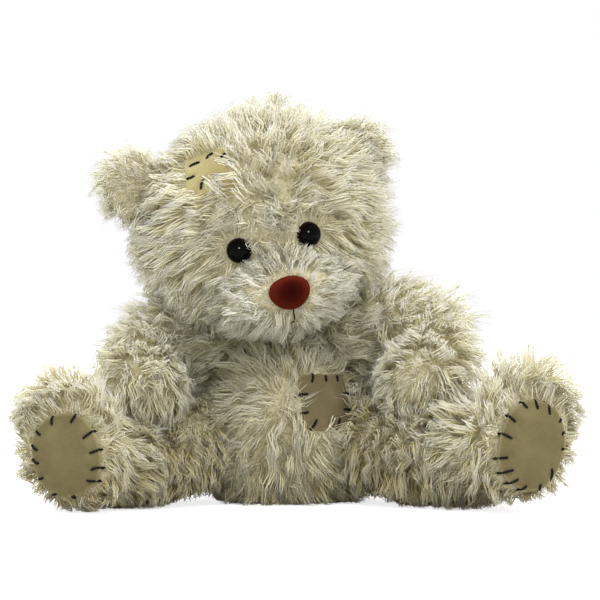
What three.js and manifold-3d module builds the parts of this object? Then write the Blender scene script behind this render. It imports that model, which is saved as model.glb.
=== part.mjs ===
// A worn shaggy plush teddy bear that sits with its legs spread.
//
// It is sewn from plush covers that are stuffed with fibre. It has clamped plastic eyes, a flocked plastic
// nose, a stitched mouth, suede foot pads and two square suede patches, which black thread holds down.
//
// Millimetres, +Z up. The bear faces -Y, and its own left is +X. The origin lies on the floor, under the
// middle of the whole bear. A cover's outer face is where the pile lies when it is stroked flat.

import * as THREE from "three";
import { mergeVertices } from "three/addons/utils/BufferGeometryUtils.js";
import Module from "manifold-3d";

const wasm = await Module();
wasm.setup();

// Cloth, thread and the air between two pieces that touch
const PLUSH = 5; // a cover's wall: the knitted backing and the pile that lies on it
const BACKING = 1; // the knitted backing alone, which eyes and nose are clamped to
const SUEDE = 1.2;
const THREAD = 0.9;
const GAP = 0.3;

// Torso: a pear, wider below
const TORSO = { halfWidth: 43, halfDepth: 40, halfHeight: 55, swell: 0.16 };
const TORSO_AT = new THREE.Vector3(-4, 4, 36);
const NECK_RADIUS = 20;

// Head, in its own frame, which leans, nods and turns on the neck
const HEAD = { halfWidth: 55.5, halfDepth: 46.5, halfHeight: 51.5, swell: 0.07 };
const HEAD_AT = new THREE.Vector3(-17, -5, 134);
const HEAD_TURN = { nod: 8, lean: -12, turn: 9 }; // degrees
const MUZZLE = { halfWidth: 34, halfDepth: 28, halfHeight: 19.5, swell: 0 };
const MUZZLE_AT = new THREE.Vector3(0, -33, -30);
const EAR = { halfWidth: 16.5, halfDepth: 6, halfHeight: 16.5, cup: 6 };
const LEFT_EAR_AT = new THREE.Vector3(54, 4, 21);
const RIGHT_EAR_AT = new THREE.Vector3(-54.5, 4, 30);
const EAR_TURN = { splay: 40, forward: 14 }; // degrees

// Eyes and nose: a dome, a flat back on the backing cloth, a shank through it and a washer behind it
const EYE = { halfWidth: 6, halfHeight: 6, dome: 6.5 };
const EYE_APART = 35.5;
const EYE_HEIGHT = -5.5;
const NOSE = { halfWidth: 9.6, halfHeight: 7.8, dome: 8.5 };
const NOSE_LIFT = 3; // the nose's middle above the muzzle's middle
const SHANK = { radius: 1.8, length: 8 };
const WASHER = { radius: 5.5, thick: 1.2 };
const MOUTH_LENGTH = 5;
const MOUTH_WIDTH = 3;

// Arms and legs: stuffed tubes along a bent line, with a radius at each of its points
const LEFT_ARM = {
  line: [[18, 4, 76], [47, -4, 85], [65, -19, 73], [61, -38, 59]],
  radii: [18.5, 19, 18.5, 17],
};
const RIGHT_ARM = {
  line: [[-26, 4, 75], [-56, -4, 78], [-71, -19, 66], [-69, -38, 55]],
  radii: [18.5, 19, 18.5, 17],
};
const LEFT_LEG = {
  line: [[24, 2, 30], [59, -28, 21.5], [86, -51, 23.5]],
  radii: [22.5, 21.5, 20.5],
};
const RIGHT_LEG = {
  line: [[-32, 2, 30], [-62, -28, 21.5], [-86, -51, 22]],
  radii: [22.5, 21.5, 20.5],
};

// Feet: knobs with a flat sole that carries the pad
const FOOT = { halfWidth: 23.5, halfDepth: 20, halfHeight: 32, swell: 0.06 };
const SOLE = 9.5; // from the foot's middle to its flat sole
// A pad's drop is how far its middle is below the foot's
const LEFT_FOOT = { at: new THREE.Vector3(107.5, -68, 37), out: 26, padHalfHeight: 21, padDrop: 6.8 };
const RIGHT_FOOT = { at: new THREE.Vector3(-102, -68, 33), out: 20, padHalfHeight: 19.3, padDrop: 7.5 };
const FOOT_TURN = { splay: 20, back: 5 }; // degrees, as the turn out
const PAD_HALF_WIDTH = 16.8;
const PAD_STITCHES = 14;
const STITCH = 4.4;

// Patches: squares of suede that follow the plush under them
const PATCH = { width: 26, height: 27 };
const PATCH_STITCHES = [3, 2, 2, 2]; // along the top, right, bottom and left edges
const BELLY_PATCH_AT = { across: 21.5, up: 13.5 }; // from the torso's middle
const HEAD_PATCH_AT = { across: -21, up: 33, turn: -6 }; // from the head's middle

// How finely round shapes are cut
const AROUND = 22;
const ALONG = 12;
const INNER_AROUND = 14;
const INNER_ALONG = 8;
const LIMB_AROUND = 12;
const INNER_LIMB_AROUND = 9;
const OVAL_STEPS = 22;
const WELD = 1e-3;
const FAR = 400; // longer than the bear

const degrees = THREE.MathUtils.degToRad;
const FLOOR = blockFrom(new THREE.Vector3(0, 0, -FAR / 2), new THREE.Vector3(FAR, FAR, FAR));

// A closed geometry as a solid that can be cut and joined
function solidOf(geometry) {
  const bare = geometry.clone();
  bare.deleteAttribute("normal");
  bare.deleteAttribute("uv");
  const welded = mergeVertices(bare, WELD);
  const corners = welded.index.array;
  const kept = [];
  for (let i = 0; i < corners.length; i += 3) {
    const [a, b, c] = [corners[i], corners[i + 1], corners[i + 2]];
    if (a !== b && b !== c && c !== a) kept.push(a, b, c);
  }
  return new wasm.Manifold(
    new wasm.Mesh({
      numProp: 3,
      vertProperties: welded.attributes.position.array,
      triVerts: new Uint32Array(kept),
    }),
  );
}

function geometryOf(solid) {
  const mesh = solid.getMesh();
  return new THREE.BufferGeometry()
    .setAttribute("position", new THREE.BufferAttribute(new Float32Array(mesh.vertProperties), 3))
    .setIndex(new THREE.BufferAttribute(new Uint32Array(mesh.triVerts), 1));
}

function moveVertices(geometry, move) {
  const places = geometry.attributes.position;
  const point = new THREE.Vector3();
  for (let i = 0; i < places.count; i += 1) {
    move(point.fromBufferAttribute(places, i));
    places.setXYZ(i, point.x, point.y, point.z);
  }
  return geometry;
}

function blockFrom(middle, size) {
  return solidOf(new THREE.BoxGeometry(size.x, size.y, size.z).translate(middle.x, middle.y, middle.z));
}

// A rounded body about its own middle, wider below where it has a swell
function blob(size, grow, around, along) {
  const ball = new THREE.SphereGeometry(1, around, along).rotateX(Math.PI / 2);
  return moveVertices(ball, (p) => {
    const wider = 1 - size.swell * p.z;
    p.set(
      p.x * (size.halfWidth + grow) * wider,
      p.y * (size.halfDepth + grow) * wider,
      p.z * (size.halfHeight + grow),
    );
  });
}

// A stuffed tube with round ends along a bent line
function limb(shape, grow, around) {
  const curve = new THREE.CatmullRomCurve3(shape.line.map((p) => new THREE.Vector3(...p)));
  const capsule = new THREE.CapsuleGeometry(1, 1, 4, around, 6);
  return moveVertices(capsule, (p) => {
    const along = THREE.MathUtils.clamp(p.y + 0.5, 0, 1);
    const pastEnd = p.y + 0.5 - along;
    const middle = curve.getPointAt(along);
    const ahead = curve.getTangentAt(along);
    const side = new THREE.Vector3().crossVectors(ahead, new THREE.Vector3(0, 0, 1)).normalize();
    const up = new THREE.Vector3().crossVectors(side, ahead);
    const radius = between(shape.radii, along) + grow;
    const { x, z } = p;
    p.copy(middle)
      .addScaledVector(ahead, pastEnd * radius)
      .addScaledVector(side, x * radius)
      .addScaledVector(up, z * radius);
  });
}

// A value between the ones in a list, at a share of the way along it
function between(list, share) {
  const at = share * (list.length - 1);
  const first = Math.min(Math.floor(at), list.length - 2);
  return THREE.MathUtils.lerp(list[first], list[first + 1], at - first);
}

function placed(solid, matrix) {
  return solid.transform([...matrix.elements]);
}

function material(colour, roughness) {
  return new THREE.MeshStandardMaterial({ color: colour, roughness, metalness: 0 });
}

const plush = material(0xe3dcc3, 0.95);
const fibre = material(0xf2efe8, 1);
const suede = material(0xab996f, 0.9);
const blackThread = material(0x17150f, 0.7);
const blackPlastic = material(0x0d0806, 0.12);
const flock = material(0x6e2613, 0.85);
const whitePlastic = material(0xe8e8e4, 0.4);

function mesh(name, solid, finish) {
  const made = new THREE.Mesh(geometryOf(solid), finish);
  made.name = name;
  return made;
}

// Torso

const torsoPlace = new THREE.Matrix4().makeTranslation(TORSO_AT);

function torso(grow, around = AROUND, along = ALONG) {
  return placed(solidOf(blob(TORSO, grow, around, along)), torsoPlace).subtract(raised(grow));
}

// The floor, raised by as much as a body inside another stands back from its outer face
function raised(grow) {
  return FLOOR.translate([0, 0, Math.max(0, -grow)]);
}

const torsoOuter = torso(0);
const torsoOutline = torso(GAP);
const torsoInner = torso(-PLUSH, INNER_AROUND, INNER_ALONG);
const torsoFilling = torso(-PLUSH - GAP, INNER_AROUND, INNER_ALONG);
const torsoFillingOutline = torso(-PLUSH, INNER_AROUND, INNER_ALONG);

function neckPlug(grow) {
  const rise = TORSO_AT.z + TORSO.halfHeight / 2;
  const plug = new THREE.CylinderGeometry(NECK_RADIUS + grow, NECK_RADIUS + grow, FAR, INNER_AROUND);
  plug.rotateX(Math.PI / 2).translate(TORSO_AT.x, TORSO_AT.y, rise + FAR / 2);
  return solidOf(plug);
}

// Legs, each with its foot

function footMatrix({ at, out }, side) {
  const [back, splay, outward] = [-FOOT_TURN.back, side * FOOT_TURN.splay, side * out].map(degrees);
  const turn = new THREE.Euler(back, splay, outward, "ZXY");
  return new THREE.Matrix4().makeRotationFromEuler(turn).setPosition(at);
}

function leg(shape, foot, grow, around) {
  const along = ALONG - 4;
  const knob = solidOf(blob(FOOT, grow, around + 2, along)).subtract(
    blockFrom(new THREE.Vector3(0, -SOLE - grow - FAR / 2, 0), new THREE.Vector3(FAR, FAR, FAR)),
  );
  return solidOf(limb(shape, grow, around)).add(placed(knob, foot)).subtract(raised(grow));
}

function legParts(shape, foot) {
  return {
    outer: leg(shape, foot, 0, LIMB_AROUND),
    outline: leg(shape, foot, GAP, LIMB_AROUND),
    inner: leg(shape, foot, -PLUSH, INNER_LIMB_AROUND),
    filling: leg(shape, foot, -PLUSH - GAP, INNER_LIMB_AROUND),
  };
}

const leftFoot = footMatrix(LEFT_FOOT, 1);
const rightFoot = footMatrix(RIGHT_FOOT, -1);
const leftLeg = legParts(LEFT_LEG, leftFoot);
const rightLeg = legParts(RIGHT_LEG, rightFoot);

// Arms, whose hands rest on the legs

function armParts(shape) {
  return {
    outer: solidOf(limb(shape, 0, LIMB_AROUND)),
    outline: solidOf(limb(shape, GAP, LIMB_AROUND)),
    inner: solidOf(limb(shape, -PLUSH, INNER_LIMB_AROUND)),
    filling: solidOf(limb(shape, -PLUSH - GAP, INNER_LIMB_AROUND)),
  };
}

const leftArm = armParts(LEFT_ARM);
const rightArm = armParts(RIGHT_ARM);

// Head, in its own frame

const head = new THREE.Group();
head.position.copy(HEAD_AT);
head.rotation.set(degrees(HEAD_TURN.nod), degrees(HEAD_TURN.lean), degrees(HEAD_TURN.turn), "YXZ");
head.updateMatrix();
const intoHead = head.matrix.clone().invert();

function skull(grow, around = AROUND, along = ALONG) {
  return solidOf(blob(HEAD, grow, around, along));
}

function muzzle(grow, around, along = INNER_ALONG) {
  return solidOf(blob(MUZZLE, grow, around, along)).translate(MUZZLE_AT.toArray());
}

const torsoInHead = placed(torsoOutline, intoHead);
const armsInHead = placed(leftArm.outline.add(rightArm.outline), intoHead);
const skullOutline = skull(GAP);
const stuffedSkull = skull(-PLUSH - GAP, INNER_AROUND, INNER_ALONG);
const stuffedHead = stuffedSkull.add(muzzle(-PLUSH - GAP, INNER_LIMB_AROUND));

// Where the face's trims sit: a frame whose -Y axis leaves the cloth, with its middle on the backing's face
function faceFrame(size, at, x, z) {
  const wide = size.halfWidth * (1 - (size.swell * z) / size.halfHeight);
  const deep = size.halfDepth * (1 - (size.swell * z) / size.halfHeight);
  const y = -deep * Math.sqrt(1 - (x / wide) ** 2 - (z / size.halfHeight) ** 2);
  const out = new THREE.Vector3(x / wide ** 2, y / deep ** 2, z / size.halfHeight ** 2).normalize();
  const side = new THREE.Vector3(0, 0, 1).cross(out).normalize();
  const up = new THREE.Vector3().crossVectors(side, out.clone().negate());
  const frame = new THREE.Group();
  frame.position.set(x, y, z).add(at).addScaledVector(out, -(PLUSH - BACKING));
  frame.quaternion.setFromRotationMatrix(new THREE.Matrix4().makeBasis(side, out.clone().negate(), up));
  frame.updateMatrix();
  return frame;
}

const MIDDLE = new THREE.Vector3(0, 0, 0);
const leftEyeFrame = faceFrame(HEAD, MIDDLE, EYE_APART / 2, EYE_HEIGHT);
const rightEyeFrame = faceFrame(HEAD, MIDDLE, -EYE_APART / 2, EYE_HEIGHT);
const noseFrame = faceFrame(MUZZLE, MUZZLE_AT, 0, NOSE_LIFT);

// A turned shape about -Y, from points of radius and distance out of the cloth
function turned(points, steps) {
  const profile = points.map(([radius, out]) => new THREE.Vector2(radius, out));
  return new THREE.LatheGeometry(profile, steps).rotateX(Math.PI);
}

function domeAndShank(size) {
  const dome = new THREE.SphereGeometry(1, 16, 6, 0, Math.PI * 2, 0, Math.PI / 2);
  const back = new THREE.CircleGeometry(1, 16).rotateX(Math.PI / 2);
  const { halfWidth, halfHeight } = size;
  const cap = moveVertices(dome, (p) => p.set(p.x * halfWidth, p.y * size.dome + GAP, p.z * halfHeight));
  moveVertices(back, (p) => p.set(p.x * halfWidth, GAP, p.z * halfHeight));
  const shank = turned([[0, -SHANK.length], [SHANK.radius, -SHANK.length], [SHANK.radius, 1], [0, 1]], 10);
  return closedFrom([cap, back]).rotate([180, 0, 0]).add(solidOf(shank));
}

// One solid from open pieces whose edges meet
function closedFrom(pieces) {
  const places = pieces.flatMap((g) => [...g.toNonIndexed().attributes.position.array]);
  return solidOf(
    new THREE.BufferGeometry()
      .setAttribute("position", new THREE.BufferAttribute(new Float32Array(places), 3)),
  );
}

const washerFront = -BACKING - GAP;
const washer = solidOf(
  turned(
    [
      [SHANK.radius + GAP, washerFront - WASHER.thick],
      [WASHER.radius, washerFront - WASHER.thick],
      [WASHER.radius, washerFront],
      [SHANK.radius + GAP, washerFront],
      [SHANK.radius + GAP, washerFront - WASHER.thick],
    ],
    14,
  ),
);

// What a trim takes out of the cloth: a bed for its back, a hole for its shank and a bed for its washer
function bed(size, frame) {
  const pocket = moveVertices(new THREE.CylinderGeometry(1, 1, 1, 16), (p) =>
    p.set(p.x * (size.halfWidth + GAP), (p.y - 0.5) * FAR, p.z * (size.halfHeight + GAP)));
  const hole = new THREE.CylinderGeometry(SHANK.radius + GAP, SHANK.radius + GAP, 4 * PLUSH, 10);
  const inside = new THREE.CylinderGeometry(WASHER.radius + GAP, WASHER.radius + GAP, SHANK.length, 14);
  inside.translate(0, BACKING + SHANK.length / 2, 0);
  return placed(solidOf(pocket).add(solidOf(hole)).add(solidOf(inside)), frame.matrix);
}

// The room that a shank and its washer take in the filling
function socket(frame) {
  const radius = WASHER.radius + GAP;
  const depth = SHANK.length + GAP;
  const room = new THREE.CylinderGeometry(radius, radius, 2 * depth, 14);
  return placed(solidOf(room), frame.matrix);
}

// Ears: two layers of plush sewn together and cupped forward

function ear(side, at) {
  const ball = new THREE.SphereGeometry(1, 18, 10);
  const shape = moveVertices(ball, (p) => {
    const rim = p.x * p.x + p.z * p.z;
    p.set(side * p.x * EAR.halfWidth, p.y * EAR.halfDepth - EAR.cup * rim, p.z * EAR.halfHeight);
  });
  if (side < 0) flipFaces(shape);
  const turn = new THREE.Euler(0, degrees(side * EAR_TURN.splay), degrees(-side * EAR_TURN.forward));
  const place = new THREE.Matrix4().makeRotationFromEuler(turn);
  place.setPosition(at);
  return placed(solidOf(shape), place).subtract(skullOutline);
}

function flipFaces(geometry) {
  const corners = geometry.index.array;
  for (let i = 0; i < corners.length; i += 3) {
    [corners[i], corners[i + 1]] = [corners[i + 1], corners[i]];
  }
}

// Patches, and the thread that is whipped over their edges

// A layer of the body between two heights above its outer face
function layer(body, low, high) {
  return body(high).subtract(body(low));
}

function squareOutline(grow) {
  const [w, h] = [PATCH.width / 2 + grow, PATCH.height / 2 + grow];
  return new THREE.Shape([[-w, -h], [w, -h], [w, h], [-w, h]].map((p) => new THREE.Vector2(...p)));
}

function ovalOutline(halfHeight, grow) {
  const oval = new THREE.Shape();
  oval.absellipse(0, 0, PAD_HALF_WIDTH + grow, halfHeight + grow, 0, Math.PI * 2);
  return new THREE.Shape(oval.getPoints(OVAL_STEPS).slice(0, -1));
}

// An outline pushed out along -Y, from one distance to another
function slab(outline, low, high) {
  const raw = new THREE.ExtrudeGeometry(outline, { depth: high - low, bevelEnabled: false });
  return solidOf(raw.rotateX(Math.PI / 2).translate(0, -low, 0));
}

// Bars that reach over an edge, at points on it with their inward directions
function bars(stitches, low, high) {
  return stitches
    .map(({ at, inward }) => {
      const bar = new THREE.BoxGeometry(STITCH, high - low, THREAD);
      bar.translate(STITCH / 2, -(low + high) / 2, 0).rotateY(-Math.atan2(inward.y, inward.x));
      return solidOf(bar).translate([at.x, 0, at.y]);
    })
    .reduce((all, bar) => all.add(bar));
}

function squareStitches() {
  const edge = GAP + THREAD / 2;
  const sides = [[0, 1], [1, 0], [0, -1], [-1, 0]];
  return PATCH_STITCHES.flatMap((count, i) => {
    const [x, y] = sides[i];
    const run = x === 0 ? PATCH.width : PATCH.height;
    return [...Array(count).keys()].map((n) => {
      const slide = run * ((n + 1) / (count + 1) - 0.5);
      const out = (x === 0 ? PATCH.height : PATCH.width) / 2 + edge;
      const at = new THREE.Vector2(x * out + Math.abs(y) * slide, y * out + Math.abs(x) * slide);
      return { at, inward: new THREE.Vector2(-x, -y) };
    });
  });
}

function ovalStitches(halfHeight) {
  const edge = GAP + THREAD / 2;
  return [...Array(PAD_STITCHES).keys()].map((n) => {
    const angle = (2 * Math.PI * n) / PAD_STITCHES;
    const at = new THREE.Vector2(
      (PAD_HALF_WIDTH + edge) * Math.cos(angle),
      (halfHeight + edge) * Math.sin(angle),
    );
    return { at, inward: at.clone().normalize().negate() };
  });
}

// The edge thread and its bars, as one piece of thread that clears the suede by a gap
function whippedThread(outline, stitches, low, high) {
  const ring = slab(outline(GAP + THREAD), low, high).subtract(slab(outline(GAP), low - 1, high + 1));
  return ring.add(bars(stitches, high - THREAD, high));
}

function patchParts(body, frame) {
  const across = (outline, low, high) => placed(slab(outline, -PATCH.width / 2, PATCH.width / 2), frame)
    .intersect(layer(body, low, high));
  const top = GAP + SUEDE;
  const ring = across(squareOutline(GAP + THREAD), GAP, top + GAP + THREAD).subtract(
    placed(slab(squareOutline(GAP), -PATCH.width, PATCH.width), frame),
  );
  const stitches = placed(bars(squareStitches(), -PATCH.width / 2, PATCH.width / 2), frame)
    .intersect(layer(body, top + GAP, top + GAP + THREAD));
  const room = across(squareOutline(2 * GAP + THREAD), 0, top + 2 * GAP + THREAD);
  return { suede: across(squareOutline(0), GAP, top), thread: ring.add(stitches), room };
}

// A square frame on a blob's face, with -Y out of the cloth
function onBlob(size, at, { across, up, turn = 0 }) {
  const frame = faceFrame(size, at, across, up);
  frame.rotateY(degrees(turn));
  frame.updateMatrix();
  return frame.matrix;
}

const bellyPatch = patchParts((grow) => torso(grow), onBlob(TORSO, TORSO_AT, BELLY_PATCH_AT));
const headPatch = patchParts((grow) => skull(grow), onBlob(HEAD, MIDDLE, HEAD_PATCH_AT));

// The mouth: a short line of thread down from the nose, with a small foot

function mouthThread() {
  const top = -NOSE.halfHeight - 2 * GAP;
  const inward = MUZZLE.halfDepth / 2 - FAR / 2;
  const line = new THREE.BoxGeometry(THREAD, FAR, MOUTH_LENGTH);
  line.translate(0, inward, top - MOUTH_LENGTH / 2);
  const foot = new THREE.BoxGeometry(MOUTH_WIDTH, FAR, THREAD);
  foot.translate(0, inward, top - MOUTH_LENGTH + THREAD / 2);
  const skin = layer((grow) => muzzle(grow, INNER_AROUND), GAP, GAP + THREAD);
  return placed(solidOf(line).add(solidOf(foot)), noseFrame.matrix).intersect(skin);
}

// The bear, put together

const bear = new THREE.Group();

const limbHoles = leftArm.inner.add(rightArm.inner).add(leftLeg.inner).add(rightLeg.inner);
bear.add(
  mesh("torso_cover", torsoOuter.subtract(torsoInner).subtract(limbHoles).subtract(neckPlug(0)), plush),
  mesh("torso_filling", torsoFilling, fibre),
);

const stitched = { left: [leftLeg, leftArm, LEFT_FOOT], right: [rightLeg, rightArm, RIGHT_FOOT] };
for (const [side, [sideLeg, sideArm, foot]] of Object.entries(stitched)) {
  const armFloor = torsoOutline.add(sideLeg.outline);
  const pad = new THREE.Group();
  pad.applyMatrix4(side === "left" ? leftFoot : rightFoot);
  pad.translateY(-SOLE).translateZ(-foot.padDrop);
  const outline = (grow) => ovalOutline(foot.padHalfHeight, grow);
  const padTop = GAP + SUEDE;
  pad.add(
    mesh(`${side}_foot_pad`, slab(outline(0), GAP, padTop), suede),
    mesh(
      `${side}_pad_thread`,
      whippedThread(outline, ovalStitches(foot.padHalfHeight), GAP, padTop + GAP + THREAD),
      blackThread,
    ),
  );
  bear.add(
    mesh(
      `${side}_leg_cover`,
      sideLeg.outer.subtract(sideLeg.inner).subtract(torsoOutline).subtract(bellyPatch.room),
      plush,
    ),
    mesh(`${side}_leg_filling`, sideLeg.filling.subtract(torsoFillingOutline), fibre),
    mesh(`${side}_arm_cover`, sideArm.outer.subtract(sideArm.inner).subtract(armFloor), plush),
    mesh(`${side}_arm_filling`, sideArm.filling.subtract(torsoFillingOutline), fibre),
    pad,
  );
}

bear.add(
  mesh("belly_patch", bellyPatch.suede, suede),
  mesh("belly_patch_thread", bellyPatch.thread, blackThread),
);

const trims = { left_eye: [EYE, leftEyeFrame], right_eye: [EYE, rightEyeFrame], nose: [NOSE, noseFrame] };
let headCloth = skull(0).subtract(skull(-PLUSH, INNER_AROUND, INNER_ALONG));
headCloth = headCloth.subtract(muzzle(-PLUSH, INNER_LIMB_AROUND));
headCloth = headCloth.subtract(torsoInHead).subtract(armsInHead);
let muzzleCloth = muzzle(0, INNER_AROUND).subtract(muzzle(-PLUSH, INNER_LIMB_AROUND));
muzzleCloth = muzzleCloth.subtract(skullOutline).subtract(torsoInHead);
const neck = placed(neckPlug(-GAP), intoHead).subtract(placed(torsoFillingOutline, intoHead));
let headFilling = stuffedHead.subtract(torsoInHead).add(stuffedHead.intersect(neck)).subtract(armsInHead);
for (const [name, [size, frame]] of Object.entries(trims)) {
  headCloth = headCloth.subtract(bed(size, frame));
  muzzleCloth = muzzleCloth.subtract(bed(size, frame));
  headFilling = headFilling.subtract(socket(frame));
  const finish = name === "nose" ? flock : blackPlastic;
  frame.add(mesh(name, domeAndShank(size), finish), mesh(`${name}_washer`, washer, whitePlastic));
  head.add(frame);
}

head.add(
  mesh("head_cover", headCloth, plush),
  mesh("muzzle_cover", muzzleCloth, plush),
  mesh("head_filling", headFilling, fibre),
  mesh("left_ear", ear(1, LEFT_EAR_AT), plush),
  mesh("right_ear", ear(-1, RIGHT_EAR_AT), plush),
  mesh("mouth_thread", mouthThread(), blackThread),
  mesh("head_patch", headPatch.suede, suede),
  mesh("head_patch_thread", headPatch.thread, blackThread),
);
bear.add(head);

// The origin goes under the middle of the whole bear
bear.updateMatrixWorld(true);
const box = new THREE.Box3().setFromObject(bear, true);
const middle = box.getCenter(new THREE.Vector3());
bear.position.set(-middle.x, -middle.y, -box.min.z);

export default bear;
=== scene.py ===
# %% [markdown]
# # A worn shaggy teddy bear
#
# This lesson builds the looks of a seated plush bear round a fixed frame of solids. The frame says where each
# cover, eye, pad and patch is. Everything here is in metres, with +Z up, and the bear faces -Y. "Left" is the
# bear's own left, which is +X.
#
# The bear is nearly all fur, so most of the lesson is about fur: how it lies, how strands gather into locks, and
# how their colour goes from a dusty root to a pale tip.

import bmesh
import bpy
import numpy as np
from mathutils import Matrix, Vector, noise
from mathutils.bvhtree import BVHTree


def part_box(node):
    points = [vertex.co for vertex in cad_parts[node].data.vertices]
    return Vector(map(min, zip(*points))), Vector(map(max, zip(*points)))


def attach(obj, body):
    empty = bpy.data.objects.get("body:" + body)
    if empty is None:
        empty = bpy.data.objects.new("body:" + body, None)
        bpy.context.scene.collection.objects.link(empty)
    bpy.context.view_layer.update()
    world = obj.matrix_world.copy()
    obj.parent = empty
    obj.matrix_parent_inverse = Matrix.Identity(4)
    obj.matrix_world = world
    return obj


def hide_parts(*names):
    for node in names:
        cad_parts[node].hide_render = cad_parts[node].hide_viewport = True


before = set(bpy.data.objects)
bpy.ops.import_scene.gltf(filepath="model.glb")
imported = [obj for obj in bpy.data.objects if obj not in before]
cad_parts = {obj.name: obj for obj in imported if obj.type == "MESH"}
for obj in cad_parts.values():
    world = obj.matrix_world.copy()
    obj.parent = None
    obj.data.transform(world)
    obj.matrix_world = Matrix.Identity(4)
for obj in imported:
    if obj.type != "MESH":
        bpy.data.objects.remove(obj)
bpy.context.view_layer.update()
MM = 0.001
SIDES = {"left": 1, "right": -1}
print("frame nodes:", len(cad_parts))

# %% [markdown]
# ## Camera
#
# The photograph looks almost level at the bear, from far enough away that its feet hardly grow. A long lens does
# that: from 1.5 m, a lens of about 190 mm gives the frame one pixel for each 0.47 mm of bear.

# %% Camera
PIXELS = 600
MM_PER_PIXEL = 0.47
CAMERA_DISTANCE = 1500 * MM
CAMERA_ELEVATION = np.radians(1.0)
LOOK_AT = Vector((1.2, -20, 97.7)) * MM

camera = bpy.data.cameras.new("camera")
camera_object = bpy.data.objects.new("camera", camera)
bpy.context.scene.collection.objects.link(camera_object)
backwards = Vector((0, -np.cos(CAMERA_ELEVATION), np.sin(CAMERA_ELEVATION)))
camera_object.location = LOOK_AT + backwards * CAMERA_DISTANCE
camera_object.rotation_euler = backwards.to_track_quat("Z", "Y").to_euler()
camera.sensor_width = 36
camera.lens = camera.sensor_width * CAMERA_DISTANCE / (PIXELS * MM_PER_PIXEL * MM)
bpy.context.scene.camera = camera_object
bpy.context.scene.view_settings.view_transform = "Standard"
print("lens in mm:", round(camera.lens))

# %% [markdown]
# ## Node graphs in one line each
#
# Materials, the world and the fur are all graphs of nodes. Each node below is made by `add`, which sets its values
# and joins its inputs in one call, so a graph reads from top to bottom.


# %% Node helper
def add(tree, kind, inputs=None, **settings):
    made = tree.nodes.new(kind)
    for name, value in settings.items():
        setattr(made, name, value)
    for name, value in (inputs or {}).items():
        socket = made.inputs[name]
        if isinstance(value, bpy.types.NodeSocket):
            tree.links.new(value, socket)
        else:
            socket.default_value = value
    return made


def new_finish(name):
    finish = bpy.data.materials.new(name)
    finish.use_nodes = True
    finish.node_tree.nodes.clear()
    return finish, finish.node_tree


def close_finish(tree, inputs):
    shader = add(tree, "ShaderNodeBsdfPrincipled", inputs)
    add(tree, "ShaderNodeOutputMaterial", {"Surface": shader.outputs["BSDF"]})


def rgb(red, green, blue):
    # A colour as a screen shows it, from 0 to 255, as the linear values that shaders use
    shares = np.array([red, green, blue]) / 255
    return (*np.where(shares < 0.04045, shares / 12.92, ((shares + 0.055) / 1.055) ** 2.4), 1)


def ramp(tree, factor, *stops):
    made = add(tree, "ShaderNodeValToRGB", {"Fac": factor})
    points = made.color_ramp.elements
    for point, (position, colour) in zip(points, stops):
        point.position, point.color = position, colour
    for position, colour in stops[2:]:
        points.new(position).color = colour
    return made.outputs["Color"]


def mixed(tree, blend, factor, first, second):
    made = add(tree, "ShaderNodeMix", {"Factor": factor}, data_type="RGBA", blend_type=blend)
    for value, socket in ((first, made.inputs[6]), (second, made.inputs[7])):
        if isinstance(value, bpy.types.NodeSocket):
            tree.links.new(value, socket)
        else:
            socket.default_value = value
    return made.outputs[2]


def object_noise(tree, scale, detail=3.0, roughness=0.5):
    place = add(tree, "ShaderNodeTexCoord").outputs["Object"]
    inputs = {"Vector": place, "Scale": scale, "Detail": detail, "Roughness": roughness}
    return add(tree, "ShaderNodeTexNoise", inputs).outputs["Fac"]


def bump(tree, height, distance, strength=1.0):
    inputs = {"Height": height, "Distance": distance, "Strength": strength}
    return add(tree, "ShaderNodeBump", inputs).outputs["Normal"]


# %% [markdown]
# ## Floor, world and lamps
#
# The bear sits on a white sweep with no visible edge. More light would wash out a pale toy, so the white comes from
# Light Path instead: only the camera, and mirror-like surfaces such as the eyes, see the world and floor at full
# strength. The floor still darkens where the bear shades it, so the bear doesn't float.

# %% Floor and world
FLOOR_HALF = 3.0
FLOOR_GREY = (0.5, 0.5, 0.5, 1)
FLOOR_GLOW = 0.78
FROM_BELOW, FROM_ABOVE = 0.66, 2.12

floor_mesh = bpy.data.meshes.new("floor")
corners = [(-1, -1, 0), (1, -1, 0), (1, 1, 0), (-1, 1, 0)]
floor_mesh.from_pydata([Vector(c) * FLOOR_HALF for c in corners], [], [(0, 1, 2, 3)])
floor = bpy.data.objects.new("floor", floor_mesh)
bpy.context.scene.collection.objects.link(floor)


def seen_directly(tree):
    # 1 for rays from the camera, and for rays that a glossy or clear surface sends on
    path = add(tree, "ShaderNodeLightPath").outputs
    either = add(tree, "ShaderNodeMath", {0: path["Is Camera Ray"], 1: path["Is Glossy Ray"]}, operation="MAXIMUM")
    clear = path["Is Transmission Ray"]
    return add(tree, "ShaderNodeMath", {0: either.outputs[0], 1: clear}, operation="MAXIMUM").outputs[0]


white_floor, tree = new_finish("white_floor")
share = add(tree, "ShaderNodeMath", {0: seen_directly(tree), 1: FLOOR_GLOW}, operation="MULTIPLY").outputs[0]
plain = add(tree, "ShaderNodeBsdfDiffuse", {"Color": FLOOR_GREY}).outputs[0]
glow = add(tree, "ShaderNodeEmission", {"Color": (1, 1, 1, 1), "Strength": share}).outputs[0]
both = add(tree, "ShaderNodeAddShader", {0: plain, 1: glow}).outputs[0]
add(tree, "ShaderNodeOutputMaterial", {"Surface": both})
floor.data.materials.append(white_floor)

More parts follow.
